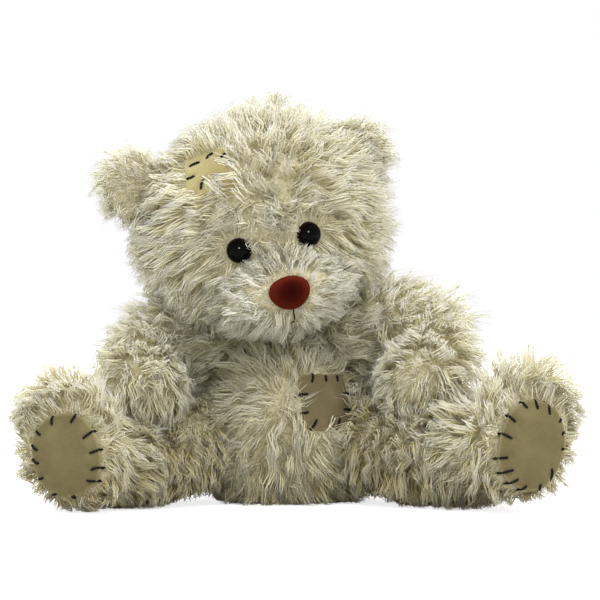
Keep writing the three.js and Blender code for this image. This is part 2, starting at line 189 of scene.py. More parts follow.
world = bpy.data.worlds.new("studio")
bpy.context.scene.world = world
world.use_nodes = True
tree = world.node_tree
tree.nodes.clear()
way = add(tree, "ShaderNodeSeparateXYZ", {"Vector": add(tree, "ShaderNodeTexCoord").outputs["Generated"]})
inputs = {"Value": way.outputs["Z"], "From Min": -0.2, "To Min": FROM_BELOW, "To Max": FROM_ABOVE}
soft = add(tree, "ShaderNodeMapRange", inputs).outputs["Result"]
strength = add(tree, "ShaderNodeMapRange", {"Value": seen_directly(tree), "To Min": soft, "To Max": 1.0})
sky = add(tree, "ShaderNodeBackground", {"Color": (1, 1, 1, 1), "Strength": strength.outputs["Result"]})
add(tree, "ShaderNodeOutputWorld", {"Surface": sky.outputs[0]})


# %% Lamps
def soft_box(name, place, size, watts, mirrored=False):
    lamp = bpy.data.lights.new(name, "AREA")
    lamp.size = size
    lamp.energy = watts
    lamp_object = bpy.data.objects.new(name, lamp)
    bpy.context.scene.collection.objects.link(lamp_object)
    lamp_object.location = place
    lamp_object.rotation_euler = (Vector(place) - LOOK_AT).to_track_quat("Z", "Y").to_euler()
    lamp_object.visible_glossy = mirrored
    lamp_object.visible_diffuse = not mirrored


soft_box("key_box", (0.95, -0.85, 1.3), 1.2, 7.5)
soft_box("top_box", (0.05, -0.1, 1.5), 1.4, 4.5)
soft_box("catch_light", (0.02, -1.45, 0.75), 0.3, 34, mirrored=True)
print("lamps:", len(bpy.data.lights))

# %% [markdown]
# ## Stuffed skins
#
# Under the pile, each part is a bag of knitted cloth that fibre fills. The frame has a cover and a filling for each,
# both with coarse facets. A voxel remesh melts the two into one closed bag, and Blender's Cloth then inflates it a
# little. Points that are sewn into a neighbour are pinned, so the cloth swells between its seams as a stuffed toy
# does. It could be sculpted by hand, but the simulation finds the soft shape between the seams by itself.


# %% Bags from covers and fillings
def link(name, mesh):
    made = bpy.data.objects.new(name, mesh)
    bpy.context.scene.collection.objects.link(made)
    return made


def applied(piece):
    # The piece with its mesh as its modifiers leave it, and no modifiers
    graph = bpy.context.evaluated_depsgraph_get()
    mesh = bpy.data.meshes.new_from_object(piece.evaluated_get(graph))
    piece.modifiers.clear()
    piece.data = mesh
    return piece


def points_of(mesh):
    places = np.zeros(len(mesh.vertices) * 3)
    normals = np.zeros(len(mesh.vertices) * 3)
    mesh.vertices.foreach_get("co", places)
    mesh.vertex_normals.foreach_get("vector", normals)
    return places.reshape(-1, 3), normals.reshape(-1, 3)


def put_points(mesh, places):
    mesh.vertices.foreach_set("co", np.ascontiguousarray(places, np.float32).ravel())
    mesh.update()


def largest_island(mesh):
    shape = bmesh.new()
    shape.from_mesh(mesh)
    unseen, largest = set(shape.verts), set()
    while unseen:
        start = unseen.pop()
        island, rim = {start}, [start]
        while rim:
            vertex = rim.pop()
            for edge in vertex.link_edges:
                near = edge.other_vert(vertex)
                if near in unseen:
                    unseen.discard(near)
                    island.add(near)
                    rim.append(near)
        largest = max(largest, island, key=len)
    bmesh.ops.delete(shape, geom=[v for v in shape.verts if v not in largest], context="VERTS")
    shape.to_mesh(mesh)
    shape.free()


def bag(name, nodes, voxel, smoothing):
    shape = bmesh.new()
    for node in nodes:
        shape.from_mesh(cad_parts[node].data)
    bmesh.ops.remove_doubles(shape, verts=shape.verts, dist=1e-6)
    mesh = bpy.data.meshes.new(name)
    shape.to_mesh(mesh)
    shape.free()
    skin = link(name, mesh)
    remesh = skin.modifiers.new("remesh", "REMESH")
    remesh.mode, remesh.voxel_size, remesh.use_smooth_shade = "VOXEL", voxel, True
    smooth = skin.modifiers.new("smooth", "SMOOTH")
    smooth.factor, smooth.iterations = 0.5, smoothing
    applied(skin)
    largest_island(skin.data)
    skin.data.materials.clear()
    return skin


BAG_VOXEL = 4 * MM
EAR_VOXEL = 2.2 * MM
skins = {
    "head": bag("head_skin", ["head_cover", "muzzle_cover", "head_filling"], BAG_VOXEL, 3),
    "torso": bag("torso_skin", ["torso_cover", "torso_filling"], BAG_VOXEL, 3),
}
for side in SIDES:
    for part in ("arm", "leg"):
        name = f"{side}_{part}"
        skins[name] = bag(f"{name}_skin", [f"{name}_cover", f"{name}_filling"], BAG_VOXEL, 3)
    skins[f"{side}_ear"] = bag(f"{side}_ear_skin", [f"{side}_ear"], EAR_VOXEL, 4)
print({name: len(skin.data.polygons) for name, skin in skins.items()})


# %% Which points are sewn into a neighbour
def surfaces():
    graph = bpy.context.evaluated_depsgraph_get()
    return {name: BVHTree.FromObject(skin, graph) for name, skin in skins.items()}


def buried(name, trees, depth):
    # True where a point of this skin lies inside another skin
    places, _ = points_of(skins[name].data)
    inside = np.zeros(len(places), bool)
    for other, tree in trees.items():
        if other != name:
            for i, place in enumerate(places):
                near, normal, _, _ = tree.find_nearest(Vector(place), 30 * MM)
                inside[i] |= near is not None and (Vector(place) - near).dot(normal) < -depth
    return inside


# %% Inflate the bags
PRESSURE = 4.0
VERTEX_MASS = 0.004
START_INSIDE = 1.2 * MM
MOST_MOVE = 3.5 * MM
LAST_FRAME = 20

trees = surfaces()
starts = {}
for name in ("head", "torso", "left_arm", "right_arm", "left_leg", "right_leg"):
    skin = skins[name]
    sewn = buried(name, trees, -0.5 * MM)
    places, normals = points_of(skin.data)
    floor_side = places[:, 2] < 2 * MM
    starts[name] = places - normals * START_INSIDE * ~(sewn | floor_side)[:, None]
    put_points(skin.data, starts[name])
    pinned = skin.vertex_groups.new(name="sewn")
    pinned.add([int(i) for i in np.flatnonzero(sewn | floor_side)], 1.0, "REPLACE")
    cloth = skin.modifiers.new("cloth", "CLOTH")
    cloth.settings.mass = VERTEX_MASS
    cloth.settings.use_pressure = True
    cloth.settings.uniform_pressure_force = PRESSURE
    cloth.settings.effector_weights.gravity = 0
    cloth.settings.vertex_group_mass = "sewn"
    cloth.collision_settings.use_collision = False
    cloth.collision_settings.use_self_collision = False
    cloth.point_cache.frame_start, cloth.point_cache.frame_end = 1, LAST_FRAME
for moment in range(1, LAST_FRAME + 1):
    bpy.context.scene.frame_set(moment)
for name, start in starts.items():
    skin = applied(skins[name])
    moved = points_of(skin.data)[0] - start
    far = np.linalg.norm(moved, axis=1, keepdims=True)
    put_points(skin.data, start + moved * np.minimum(1, MOST_MOVE / np.maximum(far, 1e-9)))
    skin.vertex_groups.clear()
    print(name, "swelled by up to", round(far.max() / MM, 1), "mm")
bpy.context.scene.frame_set(1)

for name, skin in skins.items():
    if not name.endswith("ear"):
        finer = skin.modifiers.new("finer", "SUBSURF")
        finer.levels = finer.render_levels = 1
        applied(skin)
    skin.data.shade_smooth()

# %% [markdown]
# ## Landmarks
#
# The frame's solids say where the eyes, the nose, the pads and the patches are and which way they face. Measuring
# them here, and not copying numbers, keeps every trim on the part that carries it.


# %% Measure a solid's middle and directions
def unit(vectors):
    return vectors / np.maximum(np.linalg.norm(vectors, axis=-1, keepdims=True), 1e-9)


def vertices_of(node):
    return points_of(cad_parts[node].data)[0]


def middle_of(node):
    low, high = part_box(node)
    return np.array((low + high) / 2)


def centre_of(node):
    # The centre of the solid's area
    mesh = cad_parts[node].data
    mesh.calc_loop_triangles()
    corners = np.zeros(len(mesh.loop_triangles) * 3, np.int32)
    mesh.loop_triangles.foreach_get("vertices", corners)
    triangles = points_of(mesh)[0][corners.reshape(-1, 3)]
    edges = triangles[:, 1:] - triangles[:, :1]
    areas = np.linalg.norm(np.cross(edges[:, 0], edges[:, 1]), axis=1)
    return (triangles.mean(1) * areas[:, None]).sum(0) / areas.sum()


def thin_axis(node):
    # The direction in which a flat solid is thinnest
    spread = vertices_of(node)
    return np.linalg.svd(spread - spread.mean(0), full_matrices=False)[2][2]


class Seat:
    # Where a trim sits: its middle on the cloth, the way out of the cloth, and across and up along it
    def __init__(self, at, out, up_hint):
        self.at, self.out = at, unit(out)
        self.across = unit(np.cross(-self.out, up_hint))
        self.up = np.cross(self.across, -self.out)

    def place(self, across, up, out=0.0):
        return self.at + self.across * across + self.up * up + self.out * out

    def measure(self, places):
        # Each place's distance across, up and out
        return (places - self.at) @ np.stack([self.across, self.up, self.out], 1)


UPWARD = np.array([0.0, 0.0, 1.0])
eyes_line = unit(centre_of("left_eye") - centre_of("right_eye"))
face_up = unit(np.cross(eyes_line, [0, 1, 0]))


def trim_seat(node, dome):
    # An eye or the nose: its dome's foot lies a dome's height below its highest point
    out = unit(centre_of(node) - centre_of(f"{node}_washer"))
    top = (vertices_of(node) @ out).max()
    foot = centre_of(f"{node}_washer")
    return Seat(foot + out * (top - dome - foot @ out), out, face_up)


EYE_RADIUS, EYE_DOME = 6 * MM, 6.5 * MM
NOSE_HALF = np.array([9.6, 7.8]) * MM
NOSE_DOME = 8.5 * MM
eyes = {side: trim_seat(f"{side}_eye", EYE_DOME) for side in SIDES}
nose = trim_seat("nose", NOSE_DOME)
between_eyes = (eyes["left"].at + eyes["right"].at) / 2
face_out = unit(eyes["left"].out + eyes["right"].out)
face_across = unit(eyes["left"].at - eyes["right"].at)
print("eyes apart in mm:", round(np.linalg.norm(eyes["left"].at - eyes["right"].at) / MM, 1))


# %% Pads and patches
def flat_seat(node, body, up_hint):
    out = thin_axis(node)
    out = out if out @ (centre_of(node) - centre_of(body)) > 0 else -out
    foot = (vertices_of(node) @ out).min() if "pad" in node else centre_of(node) @ out
    at = middle_of(node) if "pad" not in node else vertices_of(node).mean(0)
    return Seat(at + out * (foot - at @ out), out, up_hint)


def turned_to_fit(node, seat):
    # The same seat, turned so that the node's outline fits the smallest upright rectangle
    flat = seat.measure(vertices_of(node))[:, :2]

    def area(angle):
        turn = np.array([[np.cos(angle), -np.sin(angle)], [np.sin(angle), np.cos(angle)]])
        return np.ptp(flat @ turn, axis=0).prod()

    angle = min(np.radians(np.arange(-44, 45)), key=area)
    turn = np.array([[np.cos(angle), -np.sin(angle)], [np.sin(angle), np.cos(angle)]])
    low, high = (flat @ turn).min(0), (flat @ turn).max(0)
    middle = turn @ ((low + high) / 2)
    up = -seat.across * np.sin(angle) + seat.up * np.cos(angle)
    return Seat(seat.place(*middle), seat.out, up), (high - low) / 2


pads, patches, halves = {}, {}, {}
for side in SIDES:
    node = f"{side}_foot_pad"
    outline = vertices_of(node)
    long_way = np.linalg.svd(outline - outline.mean(0), full_matrices=False)[2][0]
    pads[side] = flat_seat(node, f"{side}_leg_cover", long_way * np.sign(long_way[2]))
    halves[node] = np.abs(pads[side].measure(outline)[:, :2]).max(0)
for node, body in (("belly_patch", "torso_cover"), ("head_patch", "head_cover")):
    patches[node], halves[node] = turned_to_fit(node, flat_seat(node, body, UPWARD))
print({node: (half / MM).round(1).tolist() for node, half in halves.items()})

# %% [markdown]
# ## How the pile lies
#
# Every point of a skin gets four values: `lie`, the vector from a strand's root to its tip; `cover`, how densely
# strands grow; `curl`, how much they wave; and `tone`, how pale they are. Tone varies at random, and it also holds
# painted light and shade: it is raised on tops that face the light, lowered in creases and under the arms, and lowered
# towards the floor for both dirt and painted shade. On the face the pile runs outwards from the forehead, on the muzzle
# it runs away from the nose, the belly has a whorl, and on the limbs it runs to the hands and feet. Combing hair by
# hand would do this too, but fields can be written down and changed.


# %% Fields on a skin
def ease(value, low, high):
    share = np.clip((value - low) / (high - low), 0, 1)
    return share * share * (3 - 2 * share)


def blend(first, second, share):
    share = share[:, None] if np.ndim(first) > 1 and np.ndim(share) == 1 else share
    return first * (1 - share) + second * share


def stir(places, size, seed):
    # A smooth random vector at each place, which changes over the given distance
    offset = Vector((7.3, 3.1, 5.7)) * seed
    return np.array([noise.noise_vector(Vector(p) / size + offset) for p in places])


def mottle(places, size, seed):
    offset = Vector((1.9, 8.7, 4.1)) * seed
    return np.array([noise.noise(Vector(p) / size + offset) for p in places])


def store(mesh, name, values):
    kind = "FLOAT_VECTOR" if np.ndim(values) > 1 else "FLOAT"
    attribute = mesh.attributes.get(name) or mesh.attributes.new(name, kind, "POINT")
    field = "vector" if kind == "FLOAT_VECTOR" else "value"
    attribute.data.foreach_set(field, np.ascontiguousarray(values, np.float32).ravel())


def arch_over(across):
    # How high the bear's underside stands off the table beside each leg's joint
    height = np.zeros(len(across))
    for middle, half, top in ((-44 * MM, 15 * MM, 10 * MM), (34.5 * MM, 11 * MM, 8 * MM)):
        height = np.maximum(height, top * (1 - ((across - middle) / half) ** 2))
    return height


class Pile:
    # The pile on one skin while it is being combed
    def __init__(self, name, length, lean, density):
        self.mesh = skins[name].data
        self.places, self.normals = points_of(self.mesh)
        count = len(self.places)
        self.flow = np.zeros((count, 3))
        self.length = np.full(count, length)
        self.lean = np.full(count, lean)
        self.curl = np.full(count, 0.2)
        self.cover = density * ~buried(name, skin_surfaces, 1.0 * MM)
        self.tone = 0.66 + 0.1 * mottle(self.places, 22 * MM, 1)

    def part(self, seat, half, full, least, lean=0.66):
        # Pile leans away from a trim of the given half size, and is shorter close to it
        flat = seat.measure(self.places)
        far = np.linalg.norm(flat[:, :2] / half, axis=1) + (np.abs(flat[:, 2]) > 13 * MM) * 99
        away = flat[:, :1] * seat.across + flat[:, 1:2] * seat.up
        share = 1 - ease(far, 1.0, full)
        self.flow = blend(unit(self.flow), unit(away), share)
        self.lean = blend(self.lean, lean, share)
        self.length = self.length * (1 - (1 - least) * share)
        self.curl = self.curl * (1 - 0.6 * share)
        self.cover = self.cover * ease(far, 0.84, 0.92)

    def paint_shade(self, centre, reach, amount):
        # Painted shade: the tone drops towards a centre where shade falls, in a crease or under a part
        far = np.linalg.norm(self.places - np.array(centre), axis=1)
        self.tone = self.tone - amount * (1 - ease(far, 0.3 * reach, reach))

    def whorl(self, centre, reach, length, curl):
        # A whorl turns in on itself, so that its pile lies over its own middle
        away = unit(self.places - centre)
        share = 1 - ease(np.linalg.norm(self.places - centre, axis=1), 0.4 * reach, reach)
        around = 0.6 * np.cross(self.normals, away) + 2.5 * stir(self.places, 5 * MM, 5)
        self.flow = unit(self.flow) * (1 - share[:, None]) + share[:, None] * (around - 0.6 * away)
        self.length = self.length * (1 - (1 - length) * share)
        self.curl = self.curl + curl * share

    def lie_over(self, seat, half, way, reach, length):
        # On one side of a trim, short tufts lie over its edge
        flat = seat.measure(self.places)
        far = np.linalg.norm(flat[:, :2] / half, axis=1)
        outward = unit(flat[:, :1] * seat.across + flat[:, 1:2] * seat.up)
        share = (1 - ease(far, 1.1, reach)) * ease(outward @ unit(way), 0.2, 0.7) * (np.abs(flat[:, 2]) < 12 * MM)
        self.flow = blend(unit(self.flow), -outward, share)
        self.lean = blend(self.lean, 0.52, share)
        self.length = blend(self.length, length, share)

    def finish(self, swirl):
        flow = unit(self.flow) + swirl * stir(self.places, 16 * MM, 1) + 0.5 * swirl * stir(self.places, 6 * MM, 2)
        flat = flow - (flow * self.normals).sum(1, keepdims=True) * self.normals
        lean = self.lean[:, None]
        direction = unit(self.normals * (1 - lean) + unit(flat) * lean)
        # Darker towards the floor: partly dirt, partly painted shade where less light reaches
        low = 1 - ease(self.places[:, 2], 2 * MM, 34 * MM)
        self.tone = self.tone - 0.36 * low
        store(self.mesh, "lie", direction * self.length[:, None])
        store(self.mesh, "cover", np.clip(self.cover, 0, 1))
        store(self.mesh, "curl", self.curl)
        store(self.mesh, "tone", np.clip(self.tone, 0.02, 0.98))
        store(self.mesh, "lift", arch_over(self.places[:, 0]))


# %% Press the cloth in where the eyes and nose are clamped
DIMPLE = 2.4 * MM
places, normals = points_of(skins["head"].data)
for seat, radius in ((eyes["left"], EYE_RADIUS), (eyes["right"], EYE_RADIUS), (nose, NOSE_HALF[0])):
    flat = seat.measure(places)
    across = np.linalg.norm(flat[:, :2], axis=1)
    level = flat[:, 2]
    near = (1 - ease(across, radius * 0.9, radius * 1.35)) * (np.abs(level) < 12 * MM)
    target = np.minimum(level, 0.2 * MM)
    places = places + seat.out * (np.maximum(target - level, -DIMPLE - 2 * MM) * near)[:, None]
put_points(skins["head"].data, places)
skin_surfaces = surfaces()

# %% The head's pile
LONG_PILE = 16 * MM
MUZZLE_PILE = 11 * MM
GRAVITY = np.array([0, 0, -1.0])


def surface_of(node):
    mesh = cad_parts[node].data
    return BVHTree.FromPolygons([v.co for v in mesh.vertices], [p.vertices[:] for p in mesh.polygons])


def distance_to(surface, places):
    return np.array([surface.find_nearest(Vector(p))[3] for p in places])


head = Pile("head", LONG_PILE, 0.62, 1.0)
nearer_muzzle = distance_to(surface_of("head_cover"), head.places) - distance_to(
    surface_of("muzzle_cover"), head.places
)
on_muzzle = ease(nearer_muzzle, -2.5 * MM, 2.5 * MM)
forehead_at = between_eyes + face_up * 15 * MM
head.flow = unit(head.places - forehead_at) + 0.3 * GRAVITY
forehead = 1 - ease(np.linalg.norm(head.places - forehead_at - face_up * 9 * MM, axis=1), 10 * MM, 32 * MM)
head.length = head.length * (1 - 0.2 * forehead)
head.curl = head.curl + 0.25 * forehead
head.whorl(forehead_at + face_out * 4 * MM, 13 * MM, 0.85, 0.2)
toward_left = ease(head.normals[:, 0], 0.3, 0.9)
top_right = ease(head.normals @ unit(np.array([-1.0, 0, 1.0])), 0.6, 0.95)
head.lean = head.lean - 0.18 * toward_left + 0.16 * top_right
head.length = head.length * (1 + 0.14 * toward_left)
crown = ease(head.normals[:, 2], 0.3, 0.95)
bare_at = between_eyes + face_up * 2 * MM + face_out * 1 * MM
bare = 1 - ease(np.linalg.norm(head.places - bare_at, axis=1), 3 * MM, 8.5 * MM)
head.cover = head.cover * (1 - 0.6 * bare)
head.length = head.length * (1 - 0.55 * bare)
away_from_nose = unit(head.places - nose.place(0, 0, -4 * MM))
head.flow = blend(unit(head.flow), away_from_nose + 0.2 * GRAVITY, on_muzzle)
head.length = blend(head.length, MUZZLE_PILE, on_muzzle)
head.lean = blend(head.lean, 0.74, on_muzzle)
head.curl = blend(head.curl, 0.26, on_muzzle)
# The muzzle's paler tone is its own colour; the crown's paler tone is painted light on the top of the head
head.tone = head.tone + 0.1 * on_muzzle + 0.06 * crown
for tuft_at, reach in (((-8, 18, 184), 11 * MM), ((18, 18, 180), 18 * MM)):
    tuft = 1 - ease(np.linalg.norm(head.places - np.array(tuft_at) * MM, axis=1), 0.3 * reach, reach)
    head.lean = blend(head.lean, 0.36, tuft)
    head.length = head.length * (1 + 0.15 * tuft)
for side, seat in eyes.items():
    head.part(seat, EYE_RADIUS, 2.7, 0.6, 0.7)
    head.lie_over(seat, EYE_RADIUS, between_eyes - seat.at, 1.4, 3.3 * MM)
head.part(nose, NOSE_HALF, 1.4, 0.85, 0.54)
head.lie_over(nose, NOSE_HALF, 0.6 * nose.up - 0.8 * face_across, 1.25, 3.4 * MM)
mouth = Seat(nose.place(0, -11 * MM, -2 * MM), nose.out, nose.up)
head.part(mouth, np.array([1.0, 3.0]) * MM, 3.0, 0.5, 0.7)

# %% The torso's pile
WHORL_AT = np.array([-7, -18, 53]) * MM
torso = Pile("torso", LONG_PILE, 0.76, 1.0)
torso.flow = unit(torso.places - WHORL_AT) + 0.15 * GRAVITY
chest = ease(torso.places[:, 2], 66 * MM, 84 * MM)
sideways = np.sign(torso.places[:, :1] + 7 * MM) * np.array([1.0, 0, 0])
torso.flow = blend(unit(torso.flow), sideways + 0.2 * GRAVITY, chest * 0.8)
torso.tone = torso.tone + 0.05 * chest
torso.whorl(WHORL_AT, 13 * MM, 0.8, 0.1)
at_sides = ease(np.abs(torso.places[:, 0] + 7 * MM), 26 * MM, 40 * MM)
torso.lean = torso.lean - 0.22 * at_sides
back_side = ease(torso.normals[:, 1], 0.0, 0.6)
torso.flow = blend(unit(torso.flow), np.broadcast_to(GRAVITY, torso.flow.shape), back_side)
torso.lean = blend(torso.lean, 0.9, back_side)


# %% Pile round a pad or a patch
def clear_round(pile, seat, half, shift, power, overlap):
    # No pile grows under a flat trim, and what grows beside it points away from it or lies over its edge
    flat = seat.measure(pile.places)
    share = (np.abs((flat[:, :2] - np.array(shift) * MM) / half) ** power).sum(1) ** (1 / power)
    beside = np.abs(flat[:, 2]) < 9 * MM
    pile.cover = pile.cover * (1 - (1 - ease(share, 0.93, 1.0)) * beside)
    near = (1 - ease(share, 1.0, 1.45)) * beside
    outward = flat[:, :1] * seat.across + flat[:, 1:2] * seat.up
    pile.flow = blend(unit(pile.flow), unit(outward), near * (1 - overlap))
    pile.length = pile.length * (1 - 0.45 * near * (1 - 0.5 * overlap))
    pile.lean = blend(pile.lean, 0.6, near * (1 - overlap))


SHOWN_BELLY = np.array([12.6, 13.2]) * MM
SHOWN_HEAD = np.array([11.4, 9.2]) * MM
clear_round(torso, patches["belly_patch"], SHOWN_BELLY, (0, 0), 6, 0.5)
torso.finish(0.42)
toward_brow = patches["head_patch"].measure(head.places)[:, 0]
clear_round(head, patches["head_patch"], SHOWN_HEAD, (-1.0, 0.7), 5, 0.3 + 0.6 * ease(toward_brow, 3 * MM, 9 * MM))
head.finish(0.5)

# %% The ears' pile
head_middle = centre_of("head_cover")
for side, sign in SIDES.items():
    ear = Pile(f"{side}_ear", 11 * MM, 0.7, 1.0)
    ear_front = ease(ear.normals @ face_out, -0.1, 0.5)
    ear_middle = middle_of(f"{side}_ear")
    ear.flow = unit(ear.places - head_middle) + 0.8 * unit(ear.places - ear_middle) + 0.5 * GRAVITY
    ear.tone = ear.tone + 0.2
    ear.length = ear.length * (1 - 0.2 * ear_front)
    crease = ear_middle - unit(ear_middle - head_middle) * 8 * MM
    # Painted shade in the crease where the ear meets the head
    ear.paint_shade(crease + face_out * 5 * MM, 9 * MM, 0.4)
    ear.finish(0.5)


# %% Pile down a limb
def along_path(places, path):
    # At each place, the direction of the nearest stretch of the path, and the nearest point on the path
    best = np.full(len(places), 1e9)
    way = np.zeros((len(places), 3))
    foot = np.zeros((len(places), 3))
    for start, end in zip(path, path[1:]):
        run = end - start
        share = np.clip((places - start) @ run / (run @ run), 0, 1)[:, None]
        nearest = start + share * run
        far = np.linalg.norm(places - nearest, axis=1)
        closer = far < best
        best[closer] = far[closer]
        way[closer] = unit(run)
        foot[closer] = nearest[closer]
    return way, foot


ARM_PATHS = {
    "left": np.array([(15, 27, 76), (44, 19, 85), (62, 4, 73), (58, -15, 59)]) * MM,
    "right": np.array([(-29, 27, 75), (-59, 19, 78), (-74, 4, 66), (-72, -15, 55)]) * MM,
}
HAND_WAY = {"left": (-0.45, 0.0, 0.0), "right": (0.35, 0.0, 0.0)}
for side, path in ARM_PATHS.items():
    arm = Pile(f"{side}_arm", LONG_PILE * 0.95, 0.68, 1.0)
    way, foot = along_path(arm.places, path)
    at_hand = ease(np.linalg.norm(arm.places - path[0], axis=1), 50 * MM, 80 * MM)
    hanging = GRAVITY + np.array(HAND_WAY[side])
    arm.flow = blend(way + 0.15 * unit(arm.places - foot) + 0.15 * GRAVITY, hanging, 0.85 * at_hand)
    # Painted light: the tops of the arms are paler, where the light falls
    arm.tone = arm.tone + 0.1 * ease(arm.normals[:, 2], 0, 0.8)
    arm.lean = arm.lean - 0.12 * ease(arm.normals[:, 2], 0.2, 0.8)
    if side == "left":
        outer = ease(arm.normals[:, 0], 0.2, 0.8)
        arm.lean = arm.lean - 0.2 * outer - 0.12 * ease(arm.normals[:, 2], 0.2, 0.8)
        arm.length = arm.length * (1 + 0.2 * outer)
        seam = (arm.places - np.array([52.6, 0, 61.3]) * MM)[:, [0, 2]]
        crease = (arm.places - np.array([67.6, 0, 49.5]) * MM)[:, [0, 2]]
        facing = ease(-arm.normals[:, 1], 0, 0.4)
        near_seam = (1 - ease(np.linalg.norm(seam, axis=1), 4 * MM, 13 * MM)) * facing
        arm.length = arm.length * (1 - 0.5 * near_seam)
        # Painted shade in the crease where the arm meets the leg
        arm.tone = arm.tone - 0.5 * (1 - ease(np.linalg.norm(crease, axis=1), 2 * MM, 9 * MM)) * facing
    arm.finish(0.5)

# %% The legs' pile
LEG_PATHS = {
    "left": np.array([(21, 25, 30), (56, -5, 21.5), (83, -28, 23.5), (105, -45, 37)]) * MM,
    "right": np.array([(-35, 25, 30), (-65, -5, 21.5), (-89, -28, 22), (-105, -45, 33)]) * MM,
}
# Where the hanging arm shades each leg
ARM_SHADOW_ON_LEG = {"left": (66, -22, 46), "right": (-62, -25, 36)}
for side, path in LEG_PATHS.items():
    leg = Pile(f"{side}_leg", LONG_PILE * 0.9, 0.64, 1.0)
    seat = pads[side]
    way, _ = along_path(leg.places, path)
    heel = seat.place(0, 0, -14 * MM)
    at_foot = 1 - ease(np.linalg.norm(leg.places - heel, axis=1), 24 * MM, 40 * MM)
    leg.flow = blend(0.5 * way + GRAVITY, unit(leg.places - heel) + 0.1 * seat.out + 0.3 * GRAVITY, at_foot)
    under = ease(-leg.normals[:, 2], 0.5, 0.95)
    leg.length = leg.length * (1 - 0.4 * under)
    leg.tone = leg.tone - 0.08
    leg.lean = leg.lean + 0.12 * ease(SIDES[side] * leg.normals[:, 0], 0.3, 0.9)
    # Painted shade in the crevice where the leg meets the torso
    leg.paint_shade(path[0] + (path[1] - path[0]) * 0.4 + np.array([0, -18, 0]) * MM, 50 * MM, 0.14)
    # Painted shade where the arm hangs over the leg
    leg.paint_shade(np.array(ARM_SHADOW_ON_LEG[side]) * MM, 14 * MM, 0.45)
    if side == "left":
        upper = ease(leg.normals[:, 2], 0.2, 0.8)
        leg.lean = leg.lean - 0.22 * upper
        leg.length = leg.length * (1 + 0.22 * upper)
    clear_round(leg, seat, halves[f"{side}_foot_pad"], (0, 0), 2.3, 0.0)
    leg.finish(0.45)
print("combed", len(skins), "skins")

# %% [markdown]
# ## The tree that grows strands
#
# A strand is a thin tapered tube with three sides and a few dozen faces at most, because it is repeated tens of
# thousands of times. Real pile rises from its backing and then lies over, and its tips gather into locks. So the
# tree scatters roots, sets a strand on each, bends it over along `lie`, and draws its tip towards the tip of the
# nearest guide, which a lock shares. The wave of a lock is shared too, which makes the locks read as locks. Blender's
# hair curves could do this, but they would export as curves, and a mesh looks the same everywhere.

# %% One straight strand
STRAND_RINGS = ((0.0, 0.8), (0.3, 1.0), (0.66, 0.72))


def strand_mesh():
    shape = bmesh.new()
    along = shape.verts.layers.float.new("along")
    rings = []
    for height, radius in STRAND_RINGS:
        ring = []
        for corner in range(3):
            angle = corner * 2 * np.pi / 3
            vertex = shape.verts.new((radius * np.cos(angle) / 2, radius * np.sin(angle) / 2, height))
            vertex[along] = height
            ring.append(vertex)
        rings.append(ring)
    tip = shape.verts.new((0, 0, 1))
    tip[along] = 1
    shape.faces.new(rings[0][::-1])
    for low, high in zip(rings, rings[1:]):
        for i in range(3):
            shape.faces.new((low[i], low[(i + 1) % 3], high[(i + 1) % 3], high[i]))
    for i in range(3):
        shape.faces.new((rings[-1][i], rings[-1][(i + 1) % 3], tip))
    mesh = bpy.data.meshes.new("strand")
    shape.to_mesh(mesh)
    shape.free()
    return mesh


strand = link("strand", strand_mesh())
FACES_PER_STRAND = len(strand.data.polygons)
print("faces in a strand:", FACES_PER_STRAND)


# %% Short words for tree nodes
class Tree:
    def __init__(self, name, **sockets):
        self.tree = bpy.data.node_groups.new(name, "GeometryNodeTree")
        face = self.tree.interface
        face.new_socket("Geometry", in_out="INPUT", socket_type="NodeSocketGeometry")
        for socket, kind in sockets.items():
            face.new_socket(socket.replace("_", " "), in_out="INPUT", socket_type=f"NodeSocket{kind}")
        face.new_socket("Geometry", in_out="OUTPUT", socket_type="NodeSocketGeometry")
        self.given = self.tree.nodes.new("NodeGroupInput").outputs

    def add(self, kind, inputs=None, **settings):
        return add(self.tree, kind, inputs, **settings).outputs

    def read(self, name, kind="FLOAT"):
        return self.add("GeometryNodeInputNamedAttribute", {"Name": name}, data_type=kind)["Attribute"]

    def write(self, geometry, name, value, kind="FLOAT", domain="POINT"):
        inputs = {"Geometry": geometry, "Name": name, "Value": value}
        return self.add("GeometryNodeStoreNamedAttribute", inputs, data_type=kind, domain=domain)[0]

    def math(self, operation, *values):
        return self.add("ShaderNodeMath", dict(enumerate(values)), operation=operation)[0]

    def vector(self, operation, *values):
        return self.add("ShaderNodeVectorMath", dict(enumerate(values)), operation=operation)[0]

    def scaled(self, value, scale):
        return self.add("ShaderNodeVectorMath", {0: value, "Scale": scale}, operation="SCALE")[0]

    def length(self, value):
        return self.add("ShaderNodeVectorMath", {0: value}, operation="LENGTH")["Value"]

    def random(self, low, high, offset):
        kind = "FLOAT_VECTOR" if isinstance(low, tuple) else "FLOAT"
        made = add(self.tree, "FunctionNodeRandomValue", data_type=kind)
        self.tree.links.new(self.math("ADD", self.given["Seed"], offset), made.inputs["Seed"])
        lowest, highest = [socket for socket in made.inputs if socket.enabled][:2]
        lowest.default_value, highest.default_value = low, high
        return next(socket for socket in made.outputs if socket.enabled)

    def any_way(self, scale, offset):
        return self.scaled(self.random((-1, -1, -1), (1, 1, 1), offset), scale)

    def finish(self, geometry):
        smooth = self.add("GeometryNodeSetShadeSmooth", {"Geometry": geometry})[0]
        painted = self.add("GeometryNodeSetMaterial", {"Geometry": smooth, "Material": self.given["Finish"]})[0]
        self.tree.links.new(painted, self.tree.nodes.new("NodeGroupOutput").inputs[0])
        return self.tree


def grown(piece, tree, values):
    # The piece as a tree makes it, with the tree's inputs set by their sockets' identifiers
    modifier = piece.modifiers.new("tree", "NODES")
    modifier.node_group = tree
    for item in tree.interface.items_tree:
        if item.item_type == "SOCKET" and item.in_out == "INPUT" and item.name in values:
            modifier[item.identifier] = values[item.name]
    return applied(piece)


# %% The pile tree
LOW = Vector((-136.6, -70.2, 0)) * MM  # no tip stands out past these
HIGH = Vector((136.6, 76.2, 200.8)) * MM


